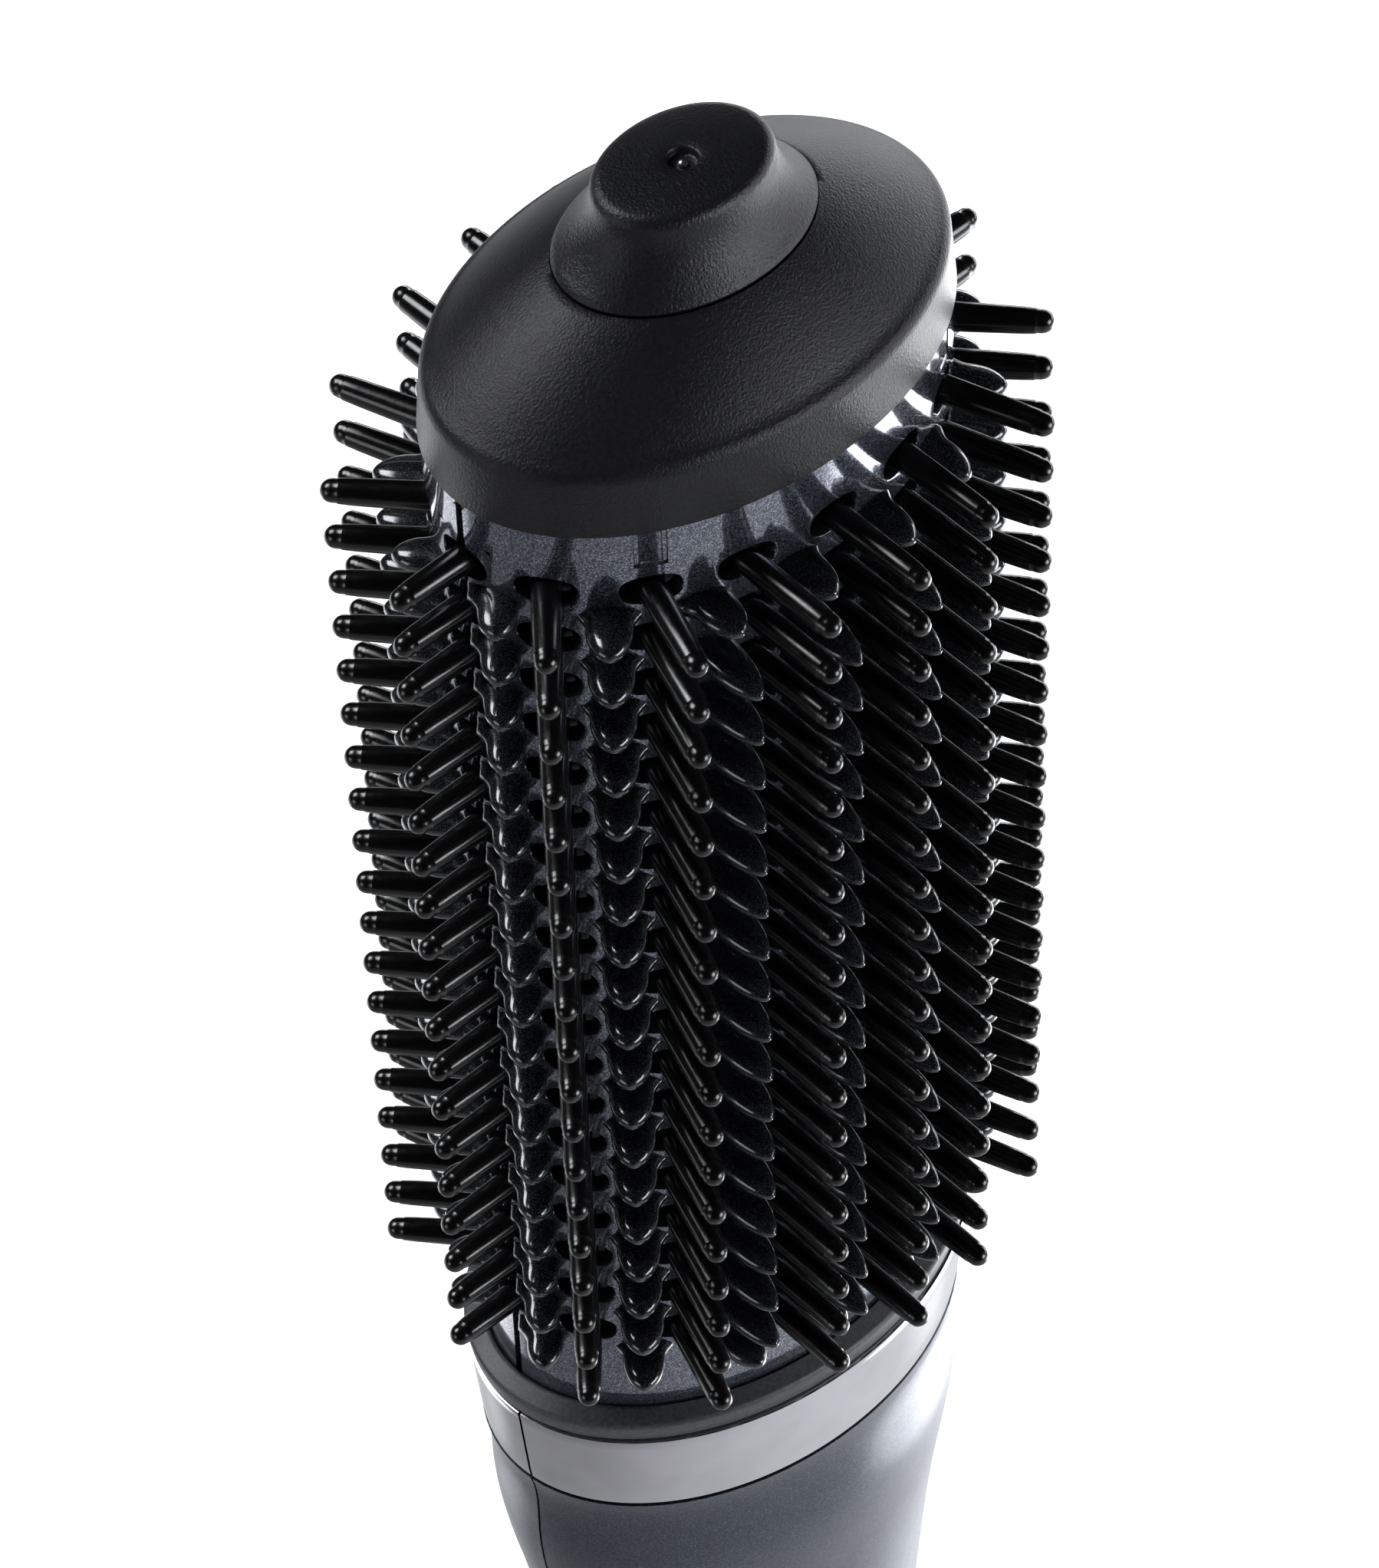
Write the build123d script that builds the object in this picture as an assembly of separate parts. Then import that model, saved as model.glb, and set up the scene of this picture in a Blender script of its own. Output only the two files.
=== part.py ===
from build123d import *
import os
from math import cos, radians, sin

# Hot air brush, standing on its tail. Z runs along the brush, X along the wide way of the
# oval barrel, Y along its narrow way. The control face of the handle looks towards -Y.
# All sizes are in millimetres.

# --- Driving sizes -------------------------------------------------------------------------
handle_length = 207.0
band_height = 12.4
line_gap = 0.4                  # dark line above and below the band
collar_wall_height = 2.6
collar_slope_height = 0.9
barrel_half_width = 28.5
barrel_half_depth = 19.6
barrel_wall = 1.6
pin_row_pitch = 6.2
pin_row_count = 19
rows_to_collar = 12.9
rows_to_cap = 7.6
cap_skirt_height = 7.7
cap_dome_height = 8.0
knob_height = 8.5
fit_gap = 0.1                   # between fixed pieces that slip together
run_gap = 0.35                  # between pieces that move past each other
shaft_gap = 0.05                # radial running clearance of the shaft in its bushes
beyond = 1000.0                 # length past the whole brush, for cutting blocks

# Bristle pins: station angle on the oval, direction of the pin, length outside the barrel
pin_columns = [(0, 0, 8.5), (25.5, 48.5, 9.4), (49.5, 70.5, 11.5), (70, 89, 12.2), (90, 90, 12.4)]
pin_root_radius = 1.3
pin_tip_radius = 1.05
slot_width = 5.8
slot_height = 3.5
slot_past_skin = 2.0            # how far a slot is cut beyond the skin
strip_depth = 3.2               # from the barrel's skin in to the strip's face
strip_thickness = 1.6
strip_width = 5.0
strip_overhang = 2.0            # how far the strip goes into each end ring

# Petals: station angle, direction, full length, length in the first and last row
petal_columns = [(12, 46.5, 4.4, 4.4), (40, 48.5, 5.2, 5.2), (61, 84, 8.3, 5.5), (80.5, 87.5, 9.4, 5.7)]
petal_root_width = 5.4
petal_waist_width = 4.2
petal_tip_width = 3.4
petal_thickness = 2.2
petal_root_depth = 4.0
petal_ear = 0.7                 # how far the wide root stands out of the skin
parting_gap = 0.9               # slit between the two barrel halves
groove_width = 2.4
groove_depth = 0.25

# Barrel ends, rings and heater
barrel_neck_height = 5.2
barrel_neck_inset = 1.9
spigot_inset = 2.5
spigot_length = 12.0
barrel_flange = 1.5
ring_height = 3.8
bridge_width = 7.0              # bar across the upper ring for the cap screws
bridge_overlap = 2.0
core_side_room = 6.1            # from the barrel's skin in to the core, at the oval's ends
core_face_room = 7.2            # the same on the broad faces
core_wall = 1.0
core_slot_width = 3.0
core_slot_levels = 4
core_slot_columns = 5
core_slot_bridge = 8.0          # solid wall left between two slots
core_slot_margin = 2.0
core_slot_spread = 1.6          # span of the slots, in half widths of the core
heater_headroom = 43.8          # from the top of the boards to the top of the core
heater_side_room = 2.2
board_thickness = 0.8
winding_inset = 0.4
winding_end_room = 8.0
winding_wire_radius = 0.5
winding_riser_radius = 0.8
winding_turns = 12
winding_notch = 1.2
heater_base_height = 3.0
base_window_radius = 4.0
base_rib = 2.4                  # between neighbouring windows, past the boards
base_side_rib = 5.0             # from the side windows to the plate's ends
thermostat_radius = 2.6
thermostat_height = 3.0
fuse_radius = 1.2
fuse_length = 6.6
lead_radius = 0.35
lead_length = 0.8

# Cap and knob
cap_overhang = 0.25
cap_wall = 1.6
dome_step = 0.3                 # shoulder between the skirt and the dome
dome_bulge_height = 0.56        # of the dome's height
dome_bulge = 0.52               # of the way in from the rim to the knob's seat
knob_seat_half_width = 13.9
knob_seat_half_depth = 10.0
knob_waist_half_width = 10.6
knob_waist_half_depth = 7.8
knob_top_half_width = 9.5
knob_top_half_depth = 7.0
knob_line = 0.15
knob_peg_radius = 4.0
knob_peg_length = 5.0
peg_seat_wall = 1.2
knob_waist_height = 0.45        # of the flank's height
knob_crown_height = 0.8
knob_crown_inset = 1.1
dimple_radius = 1.5
dimple_depth = 0.9
tip_pin_radius = 0.55
tip_pin_recess = 0.35
cap_screw_x = 8.0
cap_screw_radius = 1.0
cap_boss_radius = 2.6

# Collar and band
collar_overhang = 2.5           # past the barrel at the oval's ends
collar_face_overhang = 2.0      # past the barrel on the broad faces
collar_lip = 0.3
band_set_back = 0.3             # the band's top edge inside the collar's
band_proud = 0.3                # and outside it on the broad faces
band_taper = 1.1
band_face_taper = 1.0
band_wall = 1.1
split_y = -2.0                  # the front and back shells meet on this plane
split_gap = 0.3

# Handle. The low grip: height above the tail joint, half width, half depth, forward shift.
# The flare: how far below the band, inset at the oval's ends and faces, forward shift.
tail_height = 42.0
handle_wall = 2.0
grip_low = (28.0, 18.6, 17.8, 0.4)
grip_middle_share = 0.52
grip_sections = 17
grip_middle = (19.8, 16.8, 0.9)
flare = [(34.0, 4.2, 2.5, 0.9), (25.0, 2.4, 1.8, 0.8), (17.5, 1.4, 0.6, 0.6), (9.0, 0.6, 0.1, 0.3)]
neck_floor = 4.0                # thickness of the ledge under the barrel spigot
shell_lip = 1.4

# Motor and fan
duct_room = 0.85                # between the duct and the narrowest place of the shells
duct_wall = 1.1
seat_wall = 1.0                 # sleeve round the motor, on the vanes
duct_length = 44.0
duct_below_neck = 48.0
duct_forward = 0.7
duct_passage = 3.5              # air passage between the duct's wall and the motor
motor_length = 26.0
motor_wall = 0.8
magnet_thickness = 1.4
magnet_overhang = 1.0           # past each end of the rotor
rotor_gap = 0.8
rotor_length = 15.0
rotor_slots = 6
rotor_slot_width = 1.2
rotor_slot_depth = 1.5
shaft_radius = 1.0
bush_radius = 3.0
bush_length = 3.0
vane_count = 7
vane_thickness = 1.0
vane_height = 16.0
impeller_hub_radius = 5.0
impeller_height = 11.0
impeller_nose = 2.5             # rounding of the hub's front
blade_edge = 1.0                # from the hub's ends to the blades
blade_count = 9
blade_thickness = 1.0
blade_pitch_angle = 32.0
impeller_motor_gap = 2.0
gasket_height = 3.0
gasket_margin = 4.0             # from the duct's ends

# Controls
button_radius = 4.5
button_flange = 1.2
button_flange_height = 1.2
button_proud = 0.6
button_travel = 0.8
button_clear = 1.6              # from the shell's inner face to the flange, at rest
button_round = 0.8
board_low_room = 20.3           # from the low screw bosses up to the board
board_top_room = 3.2            # from the board up to the fan's duct
board_end = 20.0                # from the board's ends to the outer buttons
button_drop = 4.0               # buttons' middle below the board's middle
switch_size = 6.0
switch_height = 2.5
switch_spare = 0.35
plunger_height = 0.8
plunger_radius = 1.6
board_width = 18.0
circuit_board_thickness = 1.4
post_radius = 1.5
post_margin = 3.0               # from the board's ends
plate_width = 14.0
plate_short = 8.0               # the control plate is this much shorter than the board
plate_thickness = 0.9
lens_width = 2.4
lens_length = 7.0
lens_gap = 3.0                  # from the top button's hole up to the lens
boss_radius = 2.7
screw_radius = 1.0
screw_reach = 10.0              # into the front shell's bosses
screw_end_gap = 1.0
screw_head_radius = 2.1
screw_head_height = 1.5
screw_head_seat = 8.0           # y of the seat under the shell screws' heads
low_boss_x = 11.0
high_boss_x = 14.5
low_boss_rise = 14.0            # above the tail joint
high_boss_drop = 10.2           # below the fan's duct

# Tail
frame_radius = 16.4
tail_proud = 0.25               # the handle's foot outside the sleeve
frame_wall = 1.4
base_height = 3.0
frame_slot_width = 4.0
frame_slot_margin = 3.0         # above the gland's cup and below the handle
frame_flange = 2.4
foot_round = 1.0
frame_slot_pairs = 6
sleeve_floor_gap = 0.8
sleeve_wall = 2.2
sleeve_slot_width = 1.8
sleeve_end = 6.4                # solid band at each end of the sleeve
sleeve_bridge = 3.0             # between the two rows of slots
sleeve_round = 1.6
sleeve_slot_pairs = 10
mesh_thickness = 0.3
mesh_margin = 1.5               # from the sleeve's ends to the mesh
gland_radius = 6.8
gland_bore_radius = 3.6
gland_length = 14.0
gland_round = 0.8
gland_flange_radius = 9.0
gland_flange_height = 4.0
gland_floor_gap = 0.3
cup_wall = 1.7
retainer_height = 2.0

# --- Levels worked out from the sizes -------------------------------------------------------
band_bottom = handle_length + line_gap
band_top = band_bottom + band_height
collar_bottom = band_top + line_gap
collar_edge = collar_bottom + collar_wall_height
barrel_bottom = collar_edge + collar_slope_height
last_row = barrel_bottom + rows_to_collar
first_row = last_row + (pin_row_count - 1) * pin_row_pitch
barrel_top = first_row + rows_to_cap
cap_rim = barrel_top + cap_skirt_height
knob_bottom = cap_rim + cap_dome_height
brush_top = knob_bottom + knob_height

collar_half_width = barrel_half_width + collar_overhang
collar_half_depth = barrel_half_depth + collar_face_overhang
band_top_half_width = collar_half_width - band_set_back
band_top_half_depth = collar_half_depth + band_proud
band_bottom_half_width = band_top_half_width - band_taper
band_bottom_half_depth = band_top_half_depth - band_face_taper
tail_radius = frame_radius + run_gap + mesh_thickness + sleeve_wall + tail_proud
core_half_width = barrel_half_width - core_side_room
core_half_depth = barrel_half_depth - core_face_room
heater_half_width = core_half_depth - core_wall - heater_side_room
winding_radius = heater_half_width - winding_inset

spigot_half_width = barrel_half_width - spigot_inset
spigot_half_depth = barrel_half_depth - spigot_inset
spigot_bottom = collar_bottom - spigot_length
neck_half_width = barrel_half_width - barrel_neck_inset
neck_half_depth = barrel_half_depth - barrel_neck_inset
cavity_half_width = barrel_half_width - barrel_wall
cavity_half_depth = barrel_half_depth - barrel_wall
cavity_bottom = collar_bottom + barrel_flange
cavity_top = barrel_top - barrel_flange
ring_top_floor = cavity_top - ring_height
strip_bottom = cavity_bottom + ring_height - strip_overhang
strip_top = ring_top_floor + strip_overhang
base_bottom = spigot_bottom + barrel_flange
core_bottom = base_bottom + heater_base_height
heater_length = strip_top - core_bottom - heater_headroom

neck_bottom = spigot_bottom - neck_floor
duct_bottom = neck_bottom - duct_below_neck
motor_bottom = duct_bottom + duct_length - motor_length
impeller_bottom = motor_bottom - impeller_height - impeller_motor_gap
low_boss_height = tail_height + low_boss_rise
high_boss_height = duct_bottom - high_boss_drop
board_bottom = low_boss_height + boss_radius + board_low_room
board_top = duct_bottom - board_top_room
board_length = board_top - board_bottom
plate_middle = (board_bottom + board_top) / 2
plate_length = board_length - plate_short
button_step = board_length / 2 - board_end
button_heights = [plate_middle - button_drop + step * button_step for step in (-1, 0, 1)]
grip_half_depth = grip_middle[1]
grip_forward = grip_middle[2]


# --- Shape helpers --------------------------------------------------------------------------
def oval_prism(half_width, half_depth, low, high):
    """Straight oval column between two heights."""
    return Pos(0, 0, low) * extrude(Ellipse(half_width, half_depth), high - low)


def oval_loft(sections):
    """Smooth oval column through (height, half width, half depth, forward shift) sections."""
    return loft([Pos(0, -forward, z) * Ellipse(a, b) for z, a, b, forward in sections])


def round_bar(radius, low, high, x=0.0, y=0.0):
    """Upright cylinder between two heights."""
    return Pos(x, y, low) * extrude(Circle(radius), high - low)


def cross_bar(radius, y_low, y_high, x, z):
    """Cylinder lying along Y."""
    return Pos(x, y_low, z) * Rot(-90, 0, 0) * extrude(Circle(radius), y_high - y_low)


def slab(low, high):
    """Everything between two heights."""
    return Pos(0, 0, (low + high) / 2) * Box(beyond, beyond, high - low)


def front_of(y):
    """Everything in front of the plane at this y."""
    return Pos(0, y - beyond / 2, 0) * Box(beyond, beyond, 2 * beyond)


def quadrant_copies(station, direction):
    """Places (x, y, direction) of one column in all the quadrants it belongs to."""
    x = barrel_half_width * cos(radians(station))
    y = barrel_half_depth * sin(radians(station))
    places = [(x, y, direction), (-x, -y, direction + 180)]
    if station not in (0, 90):
        places += [(-x, y, 180 - direction), (x, -y, -direction)]
    return places


def grip_stations():
    """Key sections of the handle from the tail joint up to the band."""
    low_height, low_a, low_b, low_forward = grip_low
    mid_a, mid_b, mid_forward = grip_middle
    stations = [(tail_height, tail_radius, tail_radius, 0.0)]
    stations.append((tail_height + low_height, low_a, low_b, low_forward))
    stations.append((handle_length * grip_middle_share, mid_a, mid_b, mid_forward))
    for below, side_inset, face_inset, forward in flare:
        half_width = band_bottom_half_width - side_inset
        half_depth = band_bottom_half_depth - face_inset
        stations.append((handle_length - below, half_width, half_depth, forward))
    stations.append((handle_length, band_bottom_half_width, band_bottom_half_depth, 0.0))
    return stations


def eased(stations, z, column):
    """Value of one column at a height, on a smooth curve through the key sections."""
    rows = [(station[0], station[column]) for station in stations]
    slopes = [(upper[1] - lower[1]) / (upper[0] - lower[0]) for lower, upper in zip(rows, rows[1:])]
    inner_tangents = [(p + q) / 2 if p * q > 0 else 0.0 for p, q in zip(slopes, slopes[1:])]
    tangents = [slopes[0]] + inner_tangents + [slopes[-1]]
    spot = max(i for i in range(len(slopes)) if rows[i][0] <= z + 1e-6)
    (z0, v0), (z1, v1) = rows[spot], rows[spot + 1]
    span = z1 - z0
    u = (z - z0) / span
    rise = v0 * (1 + 2 * u) * (1 - u) ** 2 + v1 * u * u * (3 - 2 * u)
    return rise + span * (tangents[spot] * u * (1 - u) ** 2 - tangents[spot + 1] * u * u * (1 - u))


def grip_outline(inset=0.0):
    """Evenly spaced sections of the handle, set in by a wall."""
    stations = grip_stations()
    step = (handle_length - tail_height) / (grip_sections - 1)
    outline = []
    for number in range(grip_sections):
        z = tail_height + number * step
        a, b, forward = [eased(stations, z, column) for column in (1, 2, 3)]
        outline.append((z, a - inset, b - inset, forward))
    return outline


# --- Bristle strips -------------------------------------------------------------------------
def pin(length):
    """One bristle pin along +X, its skin line at x = 0."""
    root = -strip_depth - strip_thickness / 2
    shoulder = length - pin_tip_radius
    nose = shoulder + pin_tip_radius * cos(radians(45))
    outline = Polyline((root, 0), (root, pin_root_radius), (shoulder, pin_tip_radius))
    bend = (nose, pin_tip_radius * sin(radians(45)))
    outline += ThreePointArc((shoulder, pin_tip_radius), bend, (length, 0))
    outline += Line((length, 0), (root, 0))
    return revolve(make_face(outline), Axis.X)


def bristle_strip(length):
    """A backing strip with one pin for each row."""
    middle = (strip_bottom + strip_top) / 2
    bar = Pos(-strip_depth - strip_thickness / 2, 0, middle)
    bar *= Box(strip_thickness, strip_width, strip_top - strip_bottom)
    one_pin = pin(length)
    return bar + [Pos(0, 0, last_row + row * pin_row_pitch) * one_pin for row in range(pin_row_count)]


def strip_places():
    """Every strip's place, direction and pin length, once round the barrel."""
    places = []
    for station, direction, length in pin_columns:
        places += [(x, y, turn % 360, length) for x, y, turn in quadrant_copies(station, direction)]
    return sorted(places, key=lambda place: place[2])


def bristle_strips():
    """All the strips, named in order round the barrel."""
    shapes = {length: bristle_strip(length) for _, _, length in pin_columns}
    strips = {}
    for number, (x, y, turn, length) in enumerate(strip_places(), start=1):
        strips[f"bristle_strip_{number:02d}"] = Pos(x, y, 0) * Rot(0, 0, turn) * shapes[length]
    return strips


def strip_pocket(low, high):
    """Pockets for the ends of the strips between two heights."""
    width = strip_width + 2 * fit_gap
    thickness = strip_thickness + 2 * fit_gap
    block = Pos(-strip_depth - strip_thickness / 2, 0, (low + high) / 2) * Box(thickness, width, high - low)
    return [Pos(x, y, 0) * Rot(0, 0, turn) * block for x, y, turn, _ in strip_places()]


def end_ring(floor, pocket_low, pocket_high):
    """Oval ring that holds the strips by their ends, open in the middle for the air core."""
    ring = oval_prism(cavity_half_width - fit_gap, cavity_half_depth - fit_gap, floor, floor + ring_height)
    ring -= oval_prism(core_half_width + fit_gap, core_half_depth + fit_gap, floor, floor + ring_height)
    return ring - strip_pocket(pocket_low, pocket_high)


def bristle_ring_bottom():
    """Lower end ring, with its pockets facing up."""
    return end_ring(cavity_bottom, strip_bottom - fit_gap, cavity_bottom + ring_height)


def bristle_ring_top():
    """Upper end ring, with its pockets facing down and a bridge for the cap screws."""
    ring = end_ring(ring_top_floor, ring_top_floor, strip_top + fit_gap)
    bridge_low = strip_top + 2 * fit_gap
    ledge = core_half_width + bridge_overlap
    bridge = oval_prism(ledge, core_half_depth + bridge_overlap, bridge_low, cavity_top)
    bridge &= Pos(0, 0, (bridge_low + cavity_top) / 2) * Box(beyond, bridge_width, beyond)
    hole = round_bar(cap_screw_radius + fit_gap, bridge_low, cavity_top)
    return ring + bridge - [Pos(side * cap_screw_x, 0, 0) * hole for side in (-1, 1)]


# --- Barrel ---------------------------------------------------------------------------------
def petal(length):
    """One flat tongue along +X, its skin line at x = 0."""
    root = petal_root_width / 2
    waist = petal_waist_width / 2
    tip = petal_tip_width / 2
    side = [(-petal_root_depth, -root), (petal_ear, -root), (2 * petal_ear, -waist), (length - tip, -tip)]
    outline = Polyline(*side)
    outline += ThreePointArc((length - tip, -tip), (length, 0), (length - tip, tip))
    outline += Polyline(*[(x, -y) for x, y in reversed(side)])
    outline += Line((-petal_root_depth, root), (-petal_root_depth, -root))
    return Pos(0, 0, -petal_thickness / 2) * extrude(make_face(outline), petal_thickness)


def petals():
    """Tongues of the front half of the barrel, half a pitch under each pin row."""
    tongues = []
    for station, direction, length, end_length in petal_columns:
        for x, y, turn in quadrant_copies(station, direction):
            if y > 0:
                continue
            for row in range(pin_row_count):
                is_end = row in (0, pin_row_count - 1)
                z = last_row + (row - 0.5) * pin_row_pitch
                shape = petal(end_length if is_end else length)
                tongues.append(Pos(x, y, z) * Rot(0, 0, turn) * shape)
    return tongues


def pin_slots():
    """Oval holes of the front half, one round each pin."""
    outline = SlotOverall(slot_width, slot_height)
    hole = Pos(-strip_depth, 0, 0) * extrude(Plane.YZ * outline, strip_depth + slot_past_skin)
    holes = []
    for station, direction, _ in pin_columns:
        for x, y, turn in quadrant_copies(station, direction):
            if y < shaft_gap:
                place = Pos(x, y, last_row) * Rot(0, 0, turn)
                holes += [place * Pos(0, 0, row * pin_row_pitch) * hole for row in range(pin_row_count)]
    return holes


def grooves():
    """Shallow upright grooves along the third column of pins, front half."""
    station, direction, _ = pin_columns[2]
    strip = Pos(groove_depth, 0, (collar_edge + brush_top) / 2)
    strip *= Box(4 * groove_depth, groove_width, brush_top - collar_edge)
    return [Pos(x, y, 0) * Rot(0, 0, turn) * strip for x, y, turn in quadrant_copies(station, direction) if y < 0]


def barrel_front():
    """Front half of the barrel with its tongues, holes, upper neck and lower spigot."""
    skin = oval_prism(barrel_half_width, barrel_half_depth, collar_bottom, barrel_top)
    body = (skin & front_of(0)) + petals()
    body -= oval_prism(cavity_half_width, cavity_half_depth, cavity_bottom, cavity_top)
    ends = oval_prism(neck_half_width, neck_half_depth, barrel_top, barrel_top + barrel_neck_height)
    ends += oval_prism(spigot_half_width, spigot_half_depth, spigot_bottom, collar_bottom)
    body += ends
    bore = oval_prism(
        spigot_half_width - barrel_wall,
        spigot_half_depth - barrel_wall,
        spigot_bottom,
        barrel_top + barrel_neck_height,
    )
    body = (body - bore) & front_of(-parting_gap / 2)
    return body - (pin_slots() + grooves())


def air_core():
    """Oval tube that spreads the hot air, with upright slots through both broad walls."""
    core = oval_prism(core_half_width, core_half_depth, core_bottom, strip_top)
    core -= oval_prism(core_half_width - core_wall, core_half_depth - core_wall, core_bottom, strip_top)
    low = cavity_bottom + ring_height + core_slot_margin
    step = (ring_top_floor - core_slot_margin - low) / core_slot_levels
    slot = Box(core_slot_width, 4 * core_half_depth, step - core_slot_bridge)
    cuts = []
    for level in range(core_slot_levels):
        for column in range(core_slot_columns):
            x = (column - (core_slot_columns - 1) / 2) * core_slot_spread * core_half_width / core_slot_columns
            cuts.append(Pos(x, 0, low + (level + 0.5) * step) * slot)
    return core - cuts


# --- Heater ---------------------------------------------------------------------------------
def turn_heights():
    """Heights of the winding's turns."""
    step = (heater_length - 2 * winding_end_room) / (winding_turns - 1)
    return [core_bottom + winding_end_room + turn * step for turn in range(winding_turns)]


def heater_board(slot_from, slot_to):
    """Notched insulating board in the XZ plane, slotted half way to cross the other board."""
    middle = core_bottom + heater_length / 2
    board = Pos(0, middle) * Rectangle(2 * heater_half_width, heater_length)
    notch = Rectangle(2 * (heater_half_width - winding_radius + winding_wire_radius + fit_gap), winding_notch)
    board -= [Pos(side * heater_half_width, z) * notch for z in turn_heights() for side in (-1, 1)]
    board -= Pos(0, (slot_from + slot_to) / 2) * Rectangle(board_thickness + 2 * fit_gap, slot_to - slot_from)
    return extrude(Plane.XZ * board, board_thickness / 2, both=True)


def heater_board_wide():
    """Board across X, slotted from its top end."""
    middle = core_bottom + heater_length / 2
    return heater_board(middle, core_bottom + heater_length + 1)


def heater_board_narrow():
    """Board across Y, slotted from its lower end."""
    middle = core_bottom + heater_length / 2
    return Rot(0, 0, 90) * heater_board(core_bottom - 1, middle)


def heater_winding():
    """Resistance winding: its turns joined by one riser between the boards."""
    turns = [Pos(0, 0, z) * Torus(winding_radius, winding_wire_radius) for z in turn_heights()]
    reach = winding_radius * cos(radians(45))
    riser = round_bar(winding_riser_radius, core_bottom + 1, turn_heights()[-1] + 1, reach, reach)
    return riser + turns


def heater_base():
    """Oval plate with air windows that carries the boards and the core."""
    a = spigot_half_width - barrel_wall - fit_gap
    b = spigot_half_depth - barrel_wall - fit_gap
    plate = oval_prism(a, b, base_bottom, core_bottom)
    off_board = base_window_radius + (board_thickness + base_rib) / 2
    spots = [(x * off_board, y * off_board) for x in (-1, 1) for y in (-1, 1)]
    spots += [(side * (a - base_window_radius - base_side_rib), 0) for side in (-1, 1)]
    return plate - [round_bar(base_window_radius, base_bottom, core_bottom, x, y) for x, y in spots]


def thermostat():
    """Round cut-out switch lying on the wide board, in the first space between two turns."""
    height = (turn_heights()[0] + turn_heights()[1]) / 2
    face = board_thickness / 2
    return cross_bar(thermostat_radius, face, face + thermostat_height, heater_half_width / 2, height)


def thermal_fuse():
    """Slim fuse along the wide board, on its other face, with a lead at each end."""
    x = -heater_half_width / 2
    y = -board_thickness / 2 - fuse_radius
    low = core_bottom + lead_length + fit_gap
    body = round_bar(fuse_radius, low, low + fuse_length, x, y)
    return body + round_bar(lead_radius, low - lead_length, low + fuse_length + lead_length, x, y)


# --- Cap and knob ---------------------------------------------------------------------------
def cap_solid(inset, low):
    """Domed oval solid of the cap, set in by a wall."""
    a = barrel_half_width + cap_overhang - inset
    b = barrel_half_depth + cap_overhang - inset
    seat_a = knob_seat_half_width - inset
    seat_b = knob_seat_half_depth - inset
    top = knob_bottom - inset
    skirt = oval_prism(a, b, low, cap_rim)
    dome_middle = cap_rim + dome_bulge_height * (top - cap_rim)
    middle_a = seat_a + dome_bulge * (a - seat_a)
    middle_b = seat_b + dome_bulge * (b - seat_b)
    foot = (cap_rim, a - dome_step, b - dome_step, 0)
    return skirt + oval_loft([foot, (dome_middle, middle_a, middle_b, 0), (top, seat_a, seat_b, 0)])


def end_cap():
    """Cap over the barrel's neck, with a hole for the knob's peg and two screw bosses."""
    cap = cap_solid(0, barrel_top) - cap_solid(cap_wall, barrel_top)
    sides = (-cap_screw_x, cap_screw_x)
    boss = [round_bar(cap_boss_radius, cavity_top, knob_bottom, x) for x in sides]
    cap += boss
    seat_low = knob_bottom - knob_peg_length - peg_seat_wall
    cap += round_bar(knob_peg_radius + fit_gap + peg_seat_wall, seat_low, knob_bottom)
    cap -= round_bar(knob_peg_radius + fit_gap, seat_low, knob_bottom)
    cap -= [round_bar(cap_screw_radius + fit_gap, cavity_top, knob_bottom, x) for x in sides]
    head_floor = knob_bottom - screw_head_height - fit_gap
    return cap - [round_bar(screw_head_radius + fit_gap, head_floor, knob_bottom, x) for x in sides]


def cap_screws():
    """Two screws that pull the cap down on the upper end ring."""
    head_floor = knob_bottom - screw_head_height - fit_gap
    tip = strip_top + 3 * fit_gap
    shank = round_bar(cap_screw_radius, tip, head_floor)
    head = round_bar(screw_head_radius, head_floor, head_floor + screw_head_height)
    screw = shank + head
    return Compound([Pos(x, 0, 0) * screw for x in (-cap_screw_x, cap_screw_x)])


def cool_tip_knob():
    """Oval cool-touch knob with hollow flanks, a dimple on top and a peg under it."""
    foot = knob_bottom + knob_line
    shoulder = brush_top - knob_crown_height
    waist = foot + knob_waist_height * (shoulder - foot)
    flank = [(foot, knob_seat_half_width - fit_gap, knob_seat_half_depth - fit_gap, 0)]
    flank.append((waist, knob_waist_half_width, knob_waist_half_depth, 0))
    flank.append((shoulder, knob_top_half_width, knob_top_half_depth, 0))
    knob = oval_loft(flank)
    crown = [(shoulder, knob_top_half_width, knob_top_half_depth, 0)]
    crown.append((brush_top, knob_top_half_width - knob_crown_inset, knob_top_half_depth - knob_crown_inset, 0))
    knob += oval_loft(crown)
    knob += round_bar(knob_peg_radius, knob_bottom - knob_peg_length, foot)
    knob -= round_bar(dimple_radius, brush_top - dimple_depth, brush_top)
    return knob - round_bar(tip_pin_radius + shaft_gap, knob_bottom - knob_peg_length, brush_top)


def tip_pin():
    """Slim domed pin through the knob, its end showing in the dimple."""
    top = brush_top - tip_pin_recess
    shank = round_bar(tip_pin_radius, knob_bottom - knob_peg_length, top - tip_pin_radius)
    return shank + Pos(0, 0, top - tip_pin_radius) * Sphere(tip_pin_radius)


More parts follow.
